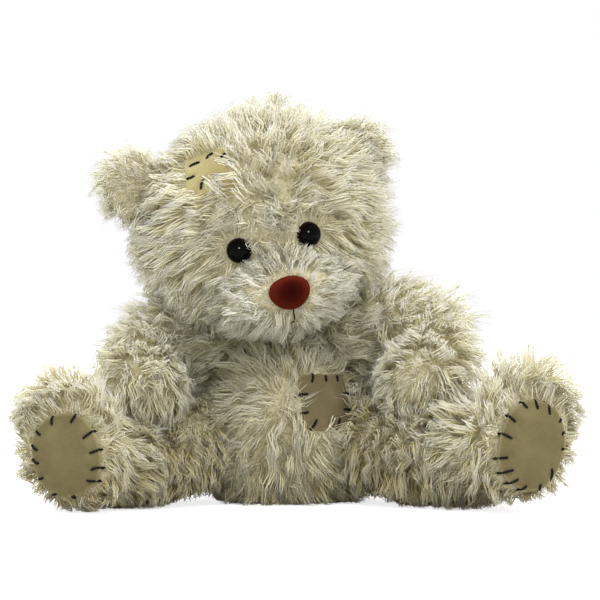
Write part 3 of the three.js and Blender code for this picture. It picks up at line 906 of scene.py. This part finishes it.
def pile_tree():
    t = Tree(
        "pile", Strand="Object", Spacing="Float", Width="Float", Stretch="Float", Lock_spacing="Float",
        Locking="Float", Spread="Float", Floor="Float", Seed="Int", Finish="Material",
    )
    given = t.given

    def scatter(spacing, cover, offset):
        inputs = {
            "Mesh": given["Geometry"], "Distance Min": spacing, "Density Max": 6e6, "Density Factor": cover,
            "Seed": t.math("ADD", given["Seed"], offset),
        }
        points = t.add("GeometryNodeDistributePointsOnFaces", inputs, distribute_method="POISSON")
        return points["Points"], points["Normal"]

    # Roots of strands, and the sparser guides that their tips gather at
    roots, normal = scatter(given["Spacing"], t.read("cover"), 0)
    guides, _ = scatter(given["Lock spacing"], t.read("cover"), 1)
    position = t.add("GeometryNodeInputPosition")[0]
    lie = t.scaled(t.read("lie", "FLOAT_VECTOR"), given["Stretch"])
    reach = t.length(lie)
    curl = t.read("curl")
    wave = t.math("MULTIPLY", reach, curl)
    guide = t.add("GeometryNodeSampleNearest", {"Geometry": guides, "Sample Position": position}, domain="POINT")[0]

    def of_guide(value, kind="FLOAT_VECTOR"):
        inputs = {"Geometry": guides, "Value": value, "Index": guide}
        return t.add("GeometryNodeSampleIndex", inputs, data_type=kind, domain="POINT")[0]

    guide_lie = t.vector("ADD", t.scaled(lie, t.random(0.85, 1.15, 20)), t.any_way(t.math("MULTIPLY", wave, 1.3), 21))
    lock_tip = of_guide(t.vector("ADD", position, guide_lie))
    lock_bow = of_guide(t.any_way(wave, 22))
    lock_ripple = of_guide(t.any_way(wave, 23))
    lock_tone = of_guide(t.random(-0.07, 0.07, 24), "FLOAT")

    # Each strand's end, how it starts, and how it waves
    astray = t.any_way(t.math("MULTIPLY", reach, given["Spread"]), 2)
    own_tip = t.vector("ADD", position, t.scaled(t.vector("ADD", lie, astray), t.random(0.78, 1.12, 3)))
    pull = t.math("MULTIPLY", given["Locking"], t.random(0.55, 1.0, 4))
    gather = t.scaled(t.vector("SUBTRACT", lock_tip, own_tip), pull)
    flick = t.any_way(t.math("MULTIPLY", wave, 0.4), 5)
    tip = t.vector("ADD", t.vector("ADD", own_tip, gather), flick)
    root = t.vector("ADD", position, t.scaled(normal, -0.5 * MM))
    run = t.vector("SUBTRACT", tip, root)
    start = t.vector("ADD", t.scaled(run, 0.84), t.scaled(normal, t.math("MULTIPLY", t.length(run), 0.34)))
    values = {
        "start": start,
        "bend": t.vector("SUBTRACT", run, start),
        "bow": t.vector("ADD", lock_bow, t.any_way(t.math("MULTIPLY", wave, 0.28), 6)),
        "ripple": t.vector("ADD", t.scaled(lock_ripple, 0.6), t.any_way(t.math("MULTIPLY", wave, 0.2), 7)),
    }
    for name, value in values.items():
        roots = t.write(roots, name, value, "FLOAT_VECTOR")
    strand_tone = t.math("ADD", t.math("ADD", t.read("tone"), lock_tone), t.random(-0.07, 0.07, 8))
    roots = t.write(roots, "strand_tone", strand_tone)
    ragged = t.math("MULTIPLY", t.read("lift"), t.random(0.3, 1.05, 10))
    roots = t.write(roots, "lowest", t.math("ADD", ragged, given["Floor"]))
    roots = t.add("GeometryNodeSetPosition", {"Geometry": roots, "Position": root})[0]

    # Straight strands on the roots, bent once they are real meshes
    first_way = t.read("start", "FLOAT_VECTOR")
    turn = t.add("FunctionNodeAlignRotationToVector", {"Vector": first_way}, axis="Z")[0]
    width = t.math("MULTIPLY", given["Width"], t.random(0.6, 1.3, 9))
    flat = t.math("MULTIPLY", width, 0.5)
    size = t.add("ShaderNodeCombineXYZ", {"X": width, "Y": flat, "Z": t.length(first_way)})[0]
    source = t.add("GeometryNodeObjectInfo", {"Object": given["Strand"]})["Geometry"]
    inputs = {"Points": roots, "Instance": source, "Rotation": turn, "Scale": size}
    placed = t.add("GeometryNodeInstanceOnPoints", inputs)[0]
    real = t.add("GeometryNodeRealizeInstances", {"Geometry": placed})[0]
    along = t.read("along")
    bow = t.math("SINE", t.math("MULTIPLY", along, np.pi))
    ripple = t.math("SINE", t.math("MULTIPLY", along, 2 * np.pi))
    moved = t.scaled(t.read("bend", "FLOAT_VECTOR"), t.math("MULTIPLY", along, along))
    moved = t.vector("ADD", moved, t.scaled(t.read("bow", "FLOAT_VECTOR"), bow))
    moved = t.vector("ADD", moved, t.scaled(t.read("ripple", "FLOAT_VECTOR"), ripple))
    bent = t.add("GeometryNodeSetPosition", {"Geometry": real, "Offset": moved})[0]
    parts = t.add("ShaderNodeSeparateXYZ", {"Vector": t.vector("MAXIMUM", t.vector("MINIMUM", position, HIGH), LOW)})
    above = t.add(
        "ShaderNodeCombineXYZ", {"X": parts["X"], "Y": parts["Y"], "Z": t.math("MAXIMUM", parts["Z"], t.read("lowest"))}
    )[0]
    bent = t.add("GeometryNodeSetPosition", {"Geometry": bent, "Position": above})[0]

    # A strand's tone and the way along it are a UV map, which its colour reads
    chart = t.add("ShaderNodeCombineXYZ", {"X": t.read("strand_tone"), "Y": along})[0]
    return t.finish(t.write(bent, "OFBake", chart, "FLOAT2", "CORNER"))


pile = pile_tree()
print("nodes in the pile tree:", len(pile.nodes))

# %% [markdown]
# ## Colour of the pile
#
# The pile is cream. At its roots it is brown with dust, a colour that also stands in for the shade deep in the pile,
# and every strand is a little paler, warmer or greyer than the next. A strand's tone also carries painted light and
# shade: paler on tops that face the light, darker in creases and under the arms, and darker towards the floor from dirt
# and painted shade. The UV map holds a strand's tone across and the way from root to tip upwards, so the whole colour
# is one small chart that any program can bake.


# %% Pile finishes
def pile_finish(name, root, shaft, tip):
    finish, tree = new_finish(name)
    chart = add(tree, "ShaderNodeUVMap", uv_map="OFBake").outputs[0]
    parts = add(tree, "ShaderNodeSeparateXYZ", {"Vector": chart}).outputs
    # The darkest stop is the roots' dust, and it also stands in for the shade deep in the pile. A lower tone, which
    # holds painted shade, moves a strand's colour towards it; a higher tone, which holds painted top light, moves it
    # towards the tip's
    paler_by_tone = add(tree, "ShaderNodeMath", {0: parts["X"], 1: 0.9}, operation="MULTIPLY").outputs[0]
    height = add(tree, "ShaderNodeMath", {0: parts["Y"], 1: paler_by_tone}, operation="ADD").outputs[0]
    from_dusty_shaded_root = add(tree, "ShaderNodeMapRange", {"Value": height, "From Min": 0.15, "From Max": 1.6}).outputs["Result"]
    length_colour = ramp(tree, from_dusty_shaded_root, (0.0, rgb(140, 118, 80)), (0.3, root), (0.57, shaft), (0.93, tip))
    # Tone colours: the lower stops are painted shade mixed with dirt, and the top stop is reached through painted light
    # on tops
    deep_shade_and_dirt, shade_and_dust, clean = rgb(206, 196, 163), rgb(226, 218, 190), rgb(238, 233, 210)
    tone = ramp(tree, parts["X"], (0.03, deep_shade_and_dirt), (0.25, shade_and_dust), (0.5, clean), (0.85, rgb(250, 248, 236)))
    colour = mixed(tree, "MULTIPLY", 1.0, length_colour, tone)
    through = {"Subsurface Weight": 1.0, "Subsurface Radius": (1.0, 1.0, 1.0), "Subsurface Scale": 0.8 * MM}
    close_finish(tree, {"Base Color": colour, "Roughness": 0.6, "Specular IOR Level": 0.15, **through})
    return finish


long_pile = pile_finish("long_pile", rgb(220, 208, 168), rgb(243, 238, 210), rgb(250, 247, 226))
muzzle_pile = pile_finish("muzzle_pile", rgb(226, 216, 182), rgb(246, 242, 220), rgb(251, 249, 232))


# %% Grow the pile
def grow(name, skin, slot, finish, spacing, width, seed, where=None, **more):
    carrier = link(name, skin.data.copy())
    if where is not None:
        cover = np.zeros(len(carrier.data.vertices), np.float32)
        carrier.data.attributes["cover"].data.foreach_get("value", cover)
        store(carrier.data, "cover", cover * where)
    values = {
        "Strand": strand, "Spacing": spacing * MM, "Width": width * MM, "Stretch": 1.0, "Lock spacing": 4.2 * MM,
        "Locking": 0.78, "Spread": 0.14, "Floor": 0.3 * MM, "Seed": seed, "Finish": finish, **more,
    }
    grown(carrier, pile, values)
    print(name, len(carrier.data.polygons) // FACES_PER_STRAND, "strands")
    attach(carrier, "root")
    return carrier


PLUSH = ("shaggy_plush", long_pile)
grow("head_pile", skins["head"], *PLUSH, 1.2, 0.7, 11, 1 - on_muzzle)
grow("muzzle_pile", skins["head"], "muzzle_plush", muzzle_pile, 0.84, 0.56, 12, on_muzzle,
     **{"Lock spacing": 3.0 * MM, "Locking": 0.75})
grow("torso_pile", skins["torso"], *PLUSH, 1.17, 0.7, 13)
for i, side in enumerate(SIDES):
    grow(f"{side}_ear_pile", skins[f"{side}_ear"], *PLUSH, 1.05, 0.6, 20 + i, **{"Lock spacing": 3.6 * MM})
    grow(f"{side}_arm_pile", skins[f"{side}_arm"], *PLUSH, 1.17, 0.7, 30 + i)
    grow(f"{side}_leg_pile", skins[f"{side}_leg"], *PLUSH, 1.17, 0.7, 40 + i)

# %% [markdown]
# ## Eyes and nose
#
# The eyes are moulded domes of dark plastic with a shank that goes through the cloth to a toothed washer. A turned
# shape is rings round an axis, so a list of radii and heights is all it needs. The nose is moulded too, as a rounded
# triangle, and then flocked: short fibres are shot into glue, which makes it matt and soft at the rim.


# %% Closed shapes from rings
def from_rings(name, rings, first_pole, last_pole, finish, **attributes):
    # A closed shape from one pole through rings of the same length to the other pole
    shape = bmesh.new()
    first, last = shape.verts.new(first_pole), shape.verts.new(last_pole)
    loops = [[shape.verts.new(place) for place in ring] for ring in rings]
    for i in range(len(rings[0])):
        j = (i + 1) % len(rings[0])
        shape.faces.new((first, loops[0][j], loops[0][i]))
        for low, high in zip(loops, loops[1:]):
            shape.faces.new((low[i], low[j], high[j], high[i]))
        shape.faces.new((last, loops[-1][i], loops[-1][j]))
    bmesh.ops.recalc_face_normals(shape, faces=shape.faces)
    mesh = bpy.data.meshes.new(name)
    shape.to_mesh(mesh)
    shape.free()
    mesh.shade_smooth()
    mesh.materials.append(finish)
    for attribute, values in attributes.items():
        store(mesh, attribute, values)
    return link(name, mesh)


def attribute(tree, name):
    return add(tree, "ShaderNodeAttribute", attribute_name=name).outputs["Fac"]


# %% Eye and nose finishes
eye_finish, tree = new_finish("eye_plastic")
brown_rim = ramp(tree, attribute(tree, "rim"), (0.84, rgb(4, 3, 3)), (1.0, rgb(34, 10, 7)))
close_finish(tree, {"Base Color": brown_rim, "Roughness": 0.06, "Specular IOR Level": 0.05})

flock_finish, tree = new_finish("nose_flock")
# Painted sheen: the flock is darker in the middle and paler towards the rim, where velvet's sheen shows
flock_colour_with_rim_sheen = ramp(
    tree, attribute(tree, "rim"), (0.0, rgb(36, 7, 4)), (0.5, rgb(60, 13, 7)), (1.0, rgb(98, 35, 19))
)
flock_grain = object_noise(tree, 2600, 2)
flock_colour_with_rim_sheen = mixed(tree, "MULTIPLY", 1.0, flock_colour_with_rim_sheen, ramp(
    tree, flock_grain, (0.3, rgb(225, 215, 215)), (0.7, rgb(255, 255, 255))
))
flock_sheen = {"Sheen Weight": 0.02, "Sheen Roughness": 0.5, "Sheen Tint": rgb(205, 110, 80), "Specular IOR Level": 0.02}
flock_normal = bump(tree, flock_grain, 0.0002, 0.5)
close_finish(tree, {"Base Color": flock_colour_with_rim_sheen, "Roughness": 0.95, "Normal": flock_normal, **flock_sheen})

# %% Turn the eyes and shape the nose
SPOKES = 56
DOME_STEPS = 14
EYE_FOOT = ((1.7, -7.7), (1.8, -7.3), (1.8, -0.9), (3.6, -0.9), (5.3, -0.8), (5.85, -0.45), (6.0, 0.1))
NOSE_FOOT = ((1.7, -7.7), (1.8, -7.3), (1.8, -1.0), (5.0, -1.0), (8.9, -0.9), (9.5, -0.5), (9.7, 0.2))


def dome_profile(radius, foot, height, fullness):
    # From a dome's widest place to just below its top, as radii and heights in mm
    turns = np.linspace(0.08, 0.98, DOME_STEPS) * np.pi / 2
    return [(radius * np.cos(turn) ** fullness, foot + (height - foot) * np.sin(turn)) for turn in turns]


def moulded(name, seat, profile, outline, top, finish):
    angles = np.linspace(0, 2 * np.pi, SPOKES, endpoint=False)
    rings = []
    for radius, level in profile:
        across, up = outline(radius, angles)
        rings.append([seat.place(x * MM, y * MM, level * MM) for x, y in zip(across, up)])
    widest = max(radius for radius, _ in profile)
    rims = [min(1, radius / widest) for radius, _ in profile]
    rim = np.concatenate([[1, 0], np.repeat(rims, SPOKES)])
    first, last = seat.place(0, 0, profile[0][1] * MM), seat.place(0, 0, top * MM)
    return from_rings(name, rings, first, last, finish, rim=rim)


def round_outline(radius, angles):
    return radius * np.cos(angles), radius * np.sin(angles)


def nose_outline(radius, angles):
    # Wider above the middle than below it; the shank stays round
    share = ease(np.float64(radius), 1.8, 8)
    narrow = 1 + 0.13 * share * np.sin(angles)
    flat = NOSE_HALF[1] / NOSE_HALF[0]
    squash = 1 + (flat - 1) * share
    return radius * np.cos(angles) * narrow, radius * np.sin(angles) * squash


for side, seat in eyes.items():
    profile = [*EYE_FOOT, *dome_profile(6.0, 0.3, 6.5, 1.0)]
    eye = moulded(f"{side}_eye_moulded", seat, profile, round_outline, 6.5, eye_finish)
    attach(eye, "root")
    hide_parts(f"{side}_eye")
profile = [*NOSE_FOOT, *dome_profile(9.7, 0.5, 8.3, 0.8)]
nose_piece = moulded("nose_moulded", nose, profile, nose_outline, 8.3, flock_finish)
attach(nose_piece, "root")
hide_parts("nose")
print("eye and nose faces:", len(eye.data.polygons), len(nose_piece.data.polygons))

# %% [markdown]
# ## Suede
#
# The pads and patches are cut from suede cloth about a millimetre thick. Cut edges are never quite even, the thread
# pulls dents into them, and rubbing leaves them paler. Each piece is rings of points inside its outline, laid on the
# plush under it. The pads are crowned, because stuffing pushes them out.


# %% Where stitches go, in mm across and up from each piece's middle: outer end, inner end
STITCHES = {
    "right_foot_pad": (
        ((-1.0, 19.8), (-2.4, 15.7)), ((9.3, 14.9), (5.7, 12.0)), ((15.4, 6.2), (9.5, 4.3)),
        ((16.0, -2.4), (10.7, -2.6)), ((14.2, -10.3), (9.2, -9.8)), ((12.7, -18.2), (8.1, -16.4)),
        ((-11.8, 16.7), (-9.8, 13.6)), ((-15.4, 10.6), (-12.9, 6.8)), ((-16.8, 4.3), (-14.0, 0.5)),
        ((-14.9, -5.2), (-12.2, -5.6)), ((-10.0, -12.6), (-7.8, -13.0)), ((-3.1, -17.8), (-1.2, -17.6)),
    ),
    "left_foot_pad": (
        ((-9.9, 16.0), (-6.9, 14.0)), ((-4.7, 22.2), (-2.6, 18.0)), ((3.5, 23.7), (4.7, 19.0)),
        ((11.9, 18.2), (11.0, 15.7)), ((15.2, 12.0), (13.9, 9.9)), ((16.1, 3.9), (14.9, 3.0)),
        ((14.3, -12.1), (12.6, -6.4)), ((9.0, -16.6), (8.7, -14.0)), ((0.8, -21.4), (2.8, -18.9)),
        ((-6.8, -22.8), (-3.3, -19.5)), ((-11.9, -18.2), (-6.7, -15.0)), ((-14.2, -10.7), (-9.5, -8.8)),
        ((-15.6, 0.1), (-9.7, -0.7)), ((-14.9, 8.7), (-10.7, 6.8)),
    ),
    "belly_patch": (
        ((-4.7, 14.5), (-6.4, 9.4)), ((1.8, 13.1), (1.4, 9.7)), ((8.2, 13.0), (8.2, 9.9)),
        ((-15.8, 3.5), (-8.9, 3.8)), ((-13.7, -4.7), (-10.4, -4.6)), ((16.5, 3.0), (10.1, 3.8)),
        ((14.6, -3.9), (8.8, -4.0)), ((-10.4, -13.6), (-6.5, -8.3)), ((3.6, -13.7), (6.3, -8.0)),
    ),
    "head_patch": (
        ((-11.0, 7.5), (-4.8, 7.6)), ((-1.7, 8.4), (1.9, 10.8)), ((5.3, 6.5), (8.3, 8.9)),
        ((13.8, 1.5), (8.6, 3.9)), ((-12.9, 1.1), (-8.0, 1.0)), ((-5.8, -7.6), (-3.5, -2.5)),
        ((2.4, -8.3), (3.2, -5.9)),
    ),
}
skin_surfaces = surfaces()


def height_over(trees, seat, across, up):
    # How far out from the seat the highest surface is at a place, or 0 where there is none
    start = Vector(seat.place(across, up, 30 * MM))
    hits = [tree.ray_cast(start, Vector(-seat.out), 55 * MM)[0] for tree in trees]
    return max([(np.array(hit) - seat.at) @ seat.out for hit in hits if hit], default=0.0)


# %% Suede finishes
def suede_finish(name, colour, rubbed):
    finish, tree = new_finish(name)
    patchy = ramp(tree, object_noise(tree, 70, 4), (0.3, rgb(232, 228, 218)), (0.7, rgb(255, 255, 255)))
    nap = object_noise(tree, 1400, 3, 0.6)
    speckle = ramp(tree, nap, (0.3, rgb(226, 222, 214)), (0.7, rgb(255, 255, 255)))
    shade = mixed(tree, "MULTIPLY", 1.0, colour, patchy)
    shade = mixed(tree, "MULTIPLY", 1.0, shade, speckle)
    shade = mixed(tree, "MIX", attribute(tree, "rubbed"), shade, rubbed)
    sheen = {"Sheen Weight": 0.25, "Sheen Roughness": 0.5, "Sheen Tint": rgb(235, 220, 185)}
    close_finish(tree, {"Base Color": shade, "Roughness": 0.95, "Normal": bump(tree, nap, 0.00025, 0.6), **sheen})
    return finish


pad_suede = suede_finish("pad_suede", rgb(113, 103, 61), rgb(139, 129, 86))
belly_suede = suede_finish("belly_suede", rgb(114, 102, 66), rgb(144, 131, 92))
head_suede = suede_finish("head_suede", rgb(180, 170, 118), rgb(202, 192, 142))

# %% Cut the suede
SUEDE_SPOKES = 132
UNDER = ((0.25, -0.1), (0.6, -0.1), (0.9, -0.1), (0.985, 0.0))
RIM = ((1.0, 0.3), (1.005, 0.7), (0.99, 1.05), (0.965, 1.2), (0.93, 1.25))
TOP = tuple((share, 1.25) for share in (0.87, 0.8, 0.72, 0.63, 0.54, 0.45, 0.36, 0.27, 0.18, 0.09))


def outline_radius(angles, half, power):
    shares = np.abs(np.cos(angles) / half[0]) ** power + np.abs(np.sin(angles) / half[1]) ** power
    return shares ** (-1 / power)


def dents(node, places):
    # How much thread pulls in the suede at each place: 1 at a stitch and 0 away from all stitches
    pulled = np.zeros(len(places))
    for outer, inner in STITCHES[node]:
        start, run = np.array(outer) * MM, (np.array(inner) - np.array(outer)) * MM
        share = np.clip((places - start) @ run / (run @ run), 0, 1)[:, None]
        far = np.linalg.norm(places - start - share * run, axis=1)
        pulled = np.maximum(pulled, np.exp(-((far / (1.5 * MM)) ** 2)))
    return pulled


def cut_suede(node, seat, half, power, crown, finish, seed):
    angles = np.linspace(0, 2 * np.pi, SUEDE_SPOKES, endpoint=False)
    around = np.stack([np.cos(angles), np.sin(angles)], 1)
    wobble = np.array([noise.noise((c * 2.2, s * 2.2, seed)) for c, s in around])
    radius = outline_radius(angles, half, power) + 0.5 * MM * wobble
    rings, rubbed = [], [0, 0]
    for share, level in (*UNDER, *RIM, *TOP):
        flat = around * (radius * share)[:, None]
        pulled = dents(node, flat)
        flat = flat * (1 - 0.02 * pulled * (share > 0.9))[:, None]
        puff = crown * (1 - share**2) * (level > 0.2)
        waves = np.array([noise.noise((x * 110, y * 110, seed + 5)) for x, y in flat])
        lift = (level * MM + puff + 0.35 * MM * waves * (level > 0.2)) - 0.55 * MM * pulled * (level > 0.2)
        base = np.array([base_of[node](*place) for place in flat])
        rings.append([seat.place(*place, height) for place, height in zip(flat, base + lift)])
        edge = ease(np.float64(share), 0.93, 1.0) * (level > 0.2)
        rubbed.extend(np.clip(0.7 * edge + 0.35 * waves * (level > 0.2), 0, 1))
    middle = base_of[node](0, 0)
    first, last = seat.place(0, 0, middle - 0.1 * MM), seat.place(0, 0, middle + 1.25 * MM + crown)
    piece = from_rings(f"{node}_suede", rings, first, last, finish, rubbed=np.array(rubbed))
    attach(piece, "root")
    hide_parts(node)
    return piece


def smooth_base(trees, seat):
    # The plush under a patch, evened out as cloth that spans it would be
    steps = np.array([-3.0, 0.0, 3.0]) * MM

    def base(across, up):
        return np.mean([height_over(trees, seat, across + x, up + y) for x in steps for y in steps])

    return base


base_of = {
    "left_foot_pad": lambda across, up: 0.0,
    "right_foot_pad": lambda across, up: 0.0,
    "belly_patch": smooth_base([skin_surfaces["torso"], skin_surfaces["left_leg"]], patches["belly_patch"]),
    "head_patch": smooth_base([skin_surfaces["head"]], patches["head_patch"]),
}
suede = {}
for i, side in enumerate(SIDES):
    node = f"{side}_foot_pad"
    suede[node] = cut_suede(node, pads[side], halves[node], 2.3, 1.6 * MM, pad_suede, 3 + i)
for i, (node, finish) in enumerate((("belly_patch", belly_suede), ("head_patch", head_suede))):
    suede[node] = cut_suede(node, patches[node], halves[node], 7, 0.0, finish, 8 + i)
print({node: len(piece.data.polygons) for node, piece in suede.items()})

# %% [markdown]
# ## Thread
#
# Black thread holds down each piece with single whipped stitches, and two more make the mouth. Sewing thread is two
# plies twisted together. One tree turns a line of points into such a thread: its profile is two circles side by
# side, and a tilt that grows along the line twists them. At both ends the line dives into the cloth.


# %% The thread tree
def thread_tree():
    t = Tree("thread", Radius="Float", Turns="Float", Finish="Material")
    radius = t.given["Radius"]
    line = t.add("GeometryNodeMeshToCurve", {"Mesh": t.given["Geometry"]})[0]
    line = t.add("GeometryNodeResampleCurve", {"Curve": line, "Length": 0.32 * MM}, mode="LENGTH")[0]
    along = t.add("GeometryNodeSplineParameter")["Length"]
    twist = t.math("MULTIPLY", t.math("MULTIPLY", along, t.given["Turns"]), 2 * np.pi)
    line = t.add("GeometryNodeSetCurveTilt", {"Curve": line, "Tilt": twist})[0]
    inputs = {"Resolution": 7, "Radius": t.math("MULTIPLY", radius, 0.6)}
    ply = t.add("GeometryNodeCurvePrimitiveCircle", inputs, mode="RADIUS")[0]
    profile = t.tree.nodes.new("GeometryNodeJoinGeometry")
    for way in (-0.45, 0.45):
        offset = t.add("ShaderNodeCombineXYZ", {"X": t.math("MULTIPLY", radius, way)})[0]
        side = t.add("GeometryNodeTransform", {"Geometry": ply, "Translation": offset})[0]
        t.tree.links.new(side, profile.inputs[0])
    inputs = {"Curve": line, "Profile Curve": profile.outputs[0], "Fill Caps": True}
    thread = t.add("GeometryNodeCurveToMesh", inputs)[0]
    return t.finish(t.add("GeometryNodeRealizeInstances", {"Geometry": thread})[0])


def threads(name, lines, radius, turns, finish):
    mesh = bpy.data.meshes.new(name)
    counts = [len(line) for line in lines]
    starts = np.cumsum([0, *counts[:-1]])
    edges = [(s + i, s + i + 1) for s, count in zip(starts, counts) for i in range(count - 1)]
    mesh.from_pydata([Vector(place) for line in lines for place in line], edges, [])
    values = {"Radius": radius * MM, "Turns": turns, "Finish": finish}
    piece = grown(link(name, mesh), thread, values)
    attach(piece, "root")
    return piece


thread = thread_tree()

# %% Thread and loose fibre finishes
black_thread, tree = new_finish("black_thread")
fibre = object_noise(tree, 3000, 2)
thread_colour = ramp(tree, fibre, (0.3, rgb(8, 7, 7)), (0.75, rgb(30, 27, 26)))
close_finish(tree, {"Base Color": thread_colour, "Roughness": 0.8, "Specular IOR Level": 0.15})

pale_fibre, tree = new_finish("pale_fibre")
close_finish(tree, {"Base Color": rgb(226, 218, 198), "Roughness": 0.6, "Sheen Weight": 0.3})

# %% Sew
STITCH_RADIUS = 0.66
STITCH_POINTS = 9
THREAD_TURNS = 420.0


def on_surface(trees, seat, flat, rise):
    # A line over the surface, from points in mm across and up and how far it stands off at each
    return [
        seat.place(x * MM, y * MM, height_over(trees, seat, x * MM, y * MM) + h * MM) for (x, y), h in zip(flat, rise)
    ]


def slid_to_rim(outer, inner, half, power):
    # The same stitch, with its outer end at a pad's outline
    outer, inner = np.array(outer), np.array(inner)
    angle = np.arctan2(outer[1], outer[0])
    wanted = outline_radius(np.array([angle]), half / MM, power)[0] + 0.1
    moved = outer * (wanted / np.linalg.norm(outer)) - outer
    return outer + moved, inner + moved


def whip(node, seat, trees, seed):
    rng = np.random.default_rng(seed)
    shares = np.linspace(0, 1, STITCH_POINTS)
    rise = 0.5 - 1.7 * np.abs(2 * shares - 1) ** 6
    lines = []
    for outer, inner in STITCHES[node]:
        if "pad" in node:
            outer, inner = slid_to_rim(outer, inner, halves[node], 2.3)
        run = np.array(inner) - np.array(outer)
        aside = np.array([-run[1], run[0]]) * rng.normal(0, 0.06)
        flat = [outer + run * s + aside * np.sin(np.pi * s) for s in shares]
        lines.append(on_surface(trees, seat, flat, rise))
    return lines


graph = bpy.context.evaluated_depsgraph_get()
suede_surfaces = {node: BVHTree.FromObject(piece, graph) for node, piece in suede.items()}
sewn_through = {
    "left_foot_pad": ("left_pad_thread", pads["left"], "left_leg"),
    "right_foot_pad": ("right_pad_thread", pads["right"], "right_leg"),
    "belly_patch": ("belly_patch_thread", patches["belly_patch"], "torso"),
    "head_patch": ("head_patch_thread", patches["head_patch"], "head"),
}
for i, (node, (thread_node, seat, skin)) in enumerate(sewn_through.items()):
    trees = [suede_surfaces[node], skin_surfaces[skin]]
    piece = threads(f"{node}_stitches", whip(node, seat, trees, 40 + i), STITCH_RADIUS, THREAD_TURNS, black_thread)
    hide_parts(thread_node)
    print(piece.name, len(piece.data.polygons), "faces")

# %% The mouth, and loose fibres over the belly patch
MOUTH = (
    (((0.2, -7.4), (0.1, -9.0), (0.1, -11.0), (0.3, -12.8)), (0.3, 0.5, 0.5, -0.4)),
    (((-1.5, -13.3), (-0.5, -12.9), (0.4, -12.8), (1.5, -13.2)), (-0.5, 0.5, 0.5, -0.5)),
)
lines = [on_surface([skin_surfaces["head"]], nose, flat, rise) for flat, rise in MOUTH]
mouth = threads("mouth_stitches", lines, 0.42, THREAD_TURNS, black_thread)
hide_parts("mouth_thread")

LOOSE = (
    ((1.4, -7.4), (0.4, -9.0), (-0.2, -10.8), (-1.4, -12.6)),
    ((2.6, -8.4), (1.2, -10.6), (-0.7, -12.6), (-2.9, -14.4)),
)
trees = [suede_surfaces["belly_patch"], skin_surfaces["torso"]]
lines = [on_surface(trees, patches["belly_patch"], flat, [0.7] * len(flat)) for flat in LOOSE]
loose = threads("loose_fibres", lines, 0.3, 60.0, pale_fibre)

# %% [markdown]
# ## Stuffing and washers
#
# The stuffing and the washers are inside, and their shapes in the frame are right, so they keep them. They only need
# the looks of their materials: pale tangled fibre and plain moulded plastic.

# %% Inside finishes
fibre_finish, tree = new_finish("stuffing_fibre")
tangle = object_noise(tree, 900, 6, 0.7)
fibre_colour = ramp(tree, tangle, (0.3, rgb(214, 212, 206)), (0.7, rgb(250, 249, 246)))
close_finish(tree, {"Base Color": fibre_colour, "Roughness": 0.9, "Normal": bump(tree, tangle, 0.0015)})
washer_finish, tree = new_finish("washer_plastic")
scuffs = ramp(tree, object_noise(tree, 400, 4), (0.3, rgb(222, 221, 216)), (0.7, rgb(236, 235, 231)))
close_finish(tree, {"Base Color": scuffs, "Roughness": 0.45})
for name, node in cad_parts.items():
    finish = {"filling": fibre_finish, "washer": washer_finish}.get(name.rsplit("_", 1)[-1])
    if finish is not None:
        node.data.materials.clear()
        node.data.materials.append(finish)
bpy.data.objects.remove(strand)

# %% Skin finish
cloth_finish, tree = new_finish("knitted_backing")
knots = object_noise(tree, 900, 5, 0.7)
# Painted shade: the knitted backing's own beige, dotted with darker knots, is made darker overall so that bare gaps
# between locks read as shade
knit_colour_with_shade = ramp(tree, knots, (0.35, rgb(160, 150, 114)), (0.5, rgb(202, 194, 157)), (0.7, rgb(220, 213, 178)))
close_finish(tree, {"Base Color": knit_colour_with_shade, "Roughness": 0.95, "Normal": bump(tree, knots, 0.001)})
for name, skin in skins.items():
    skin.data.materials.append(cloth_finish)
    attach(skin, "root")
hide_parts("head_cover", "muzzle_cover")
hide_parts("torso_cover")
for side in SIDES:
    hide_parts(f"{side}_arm_cover")
    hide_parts(f"{side}_leg_cover")
    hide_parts(f"{side}_ear")
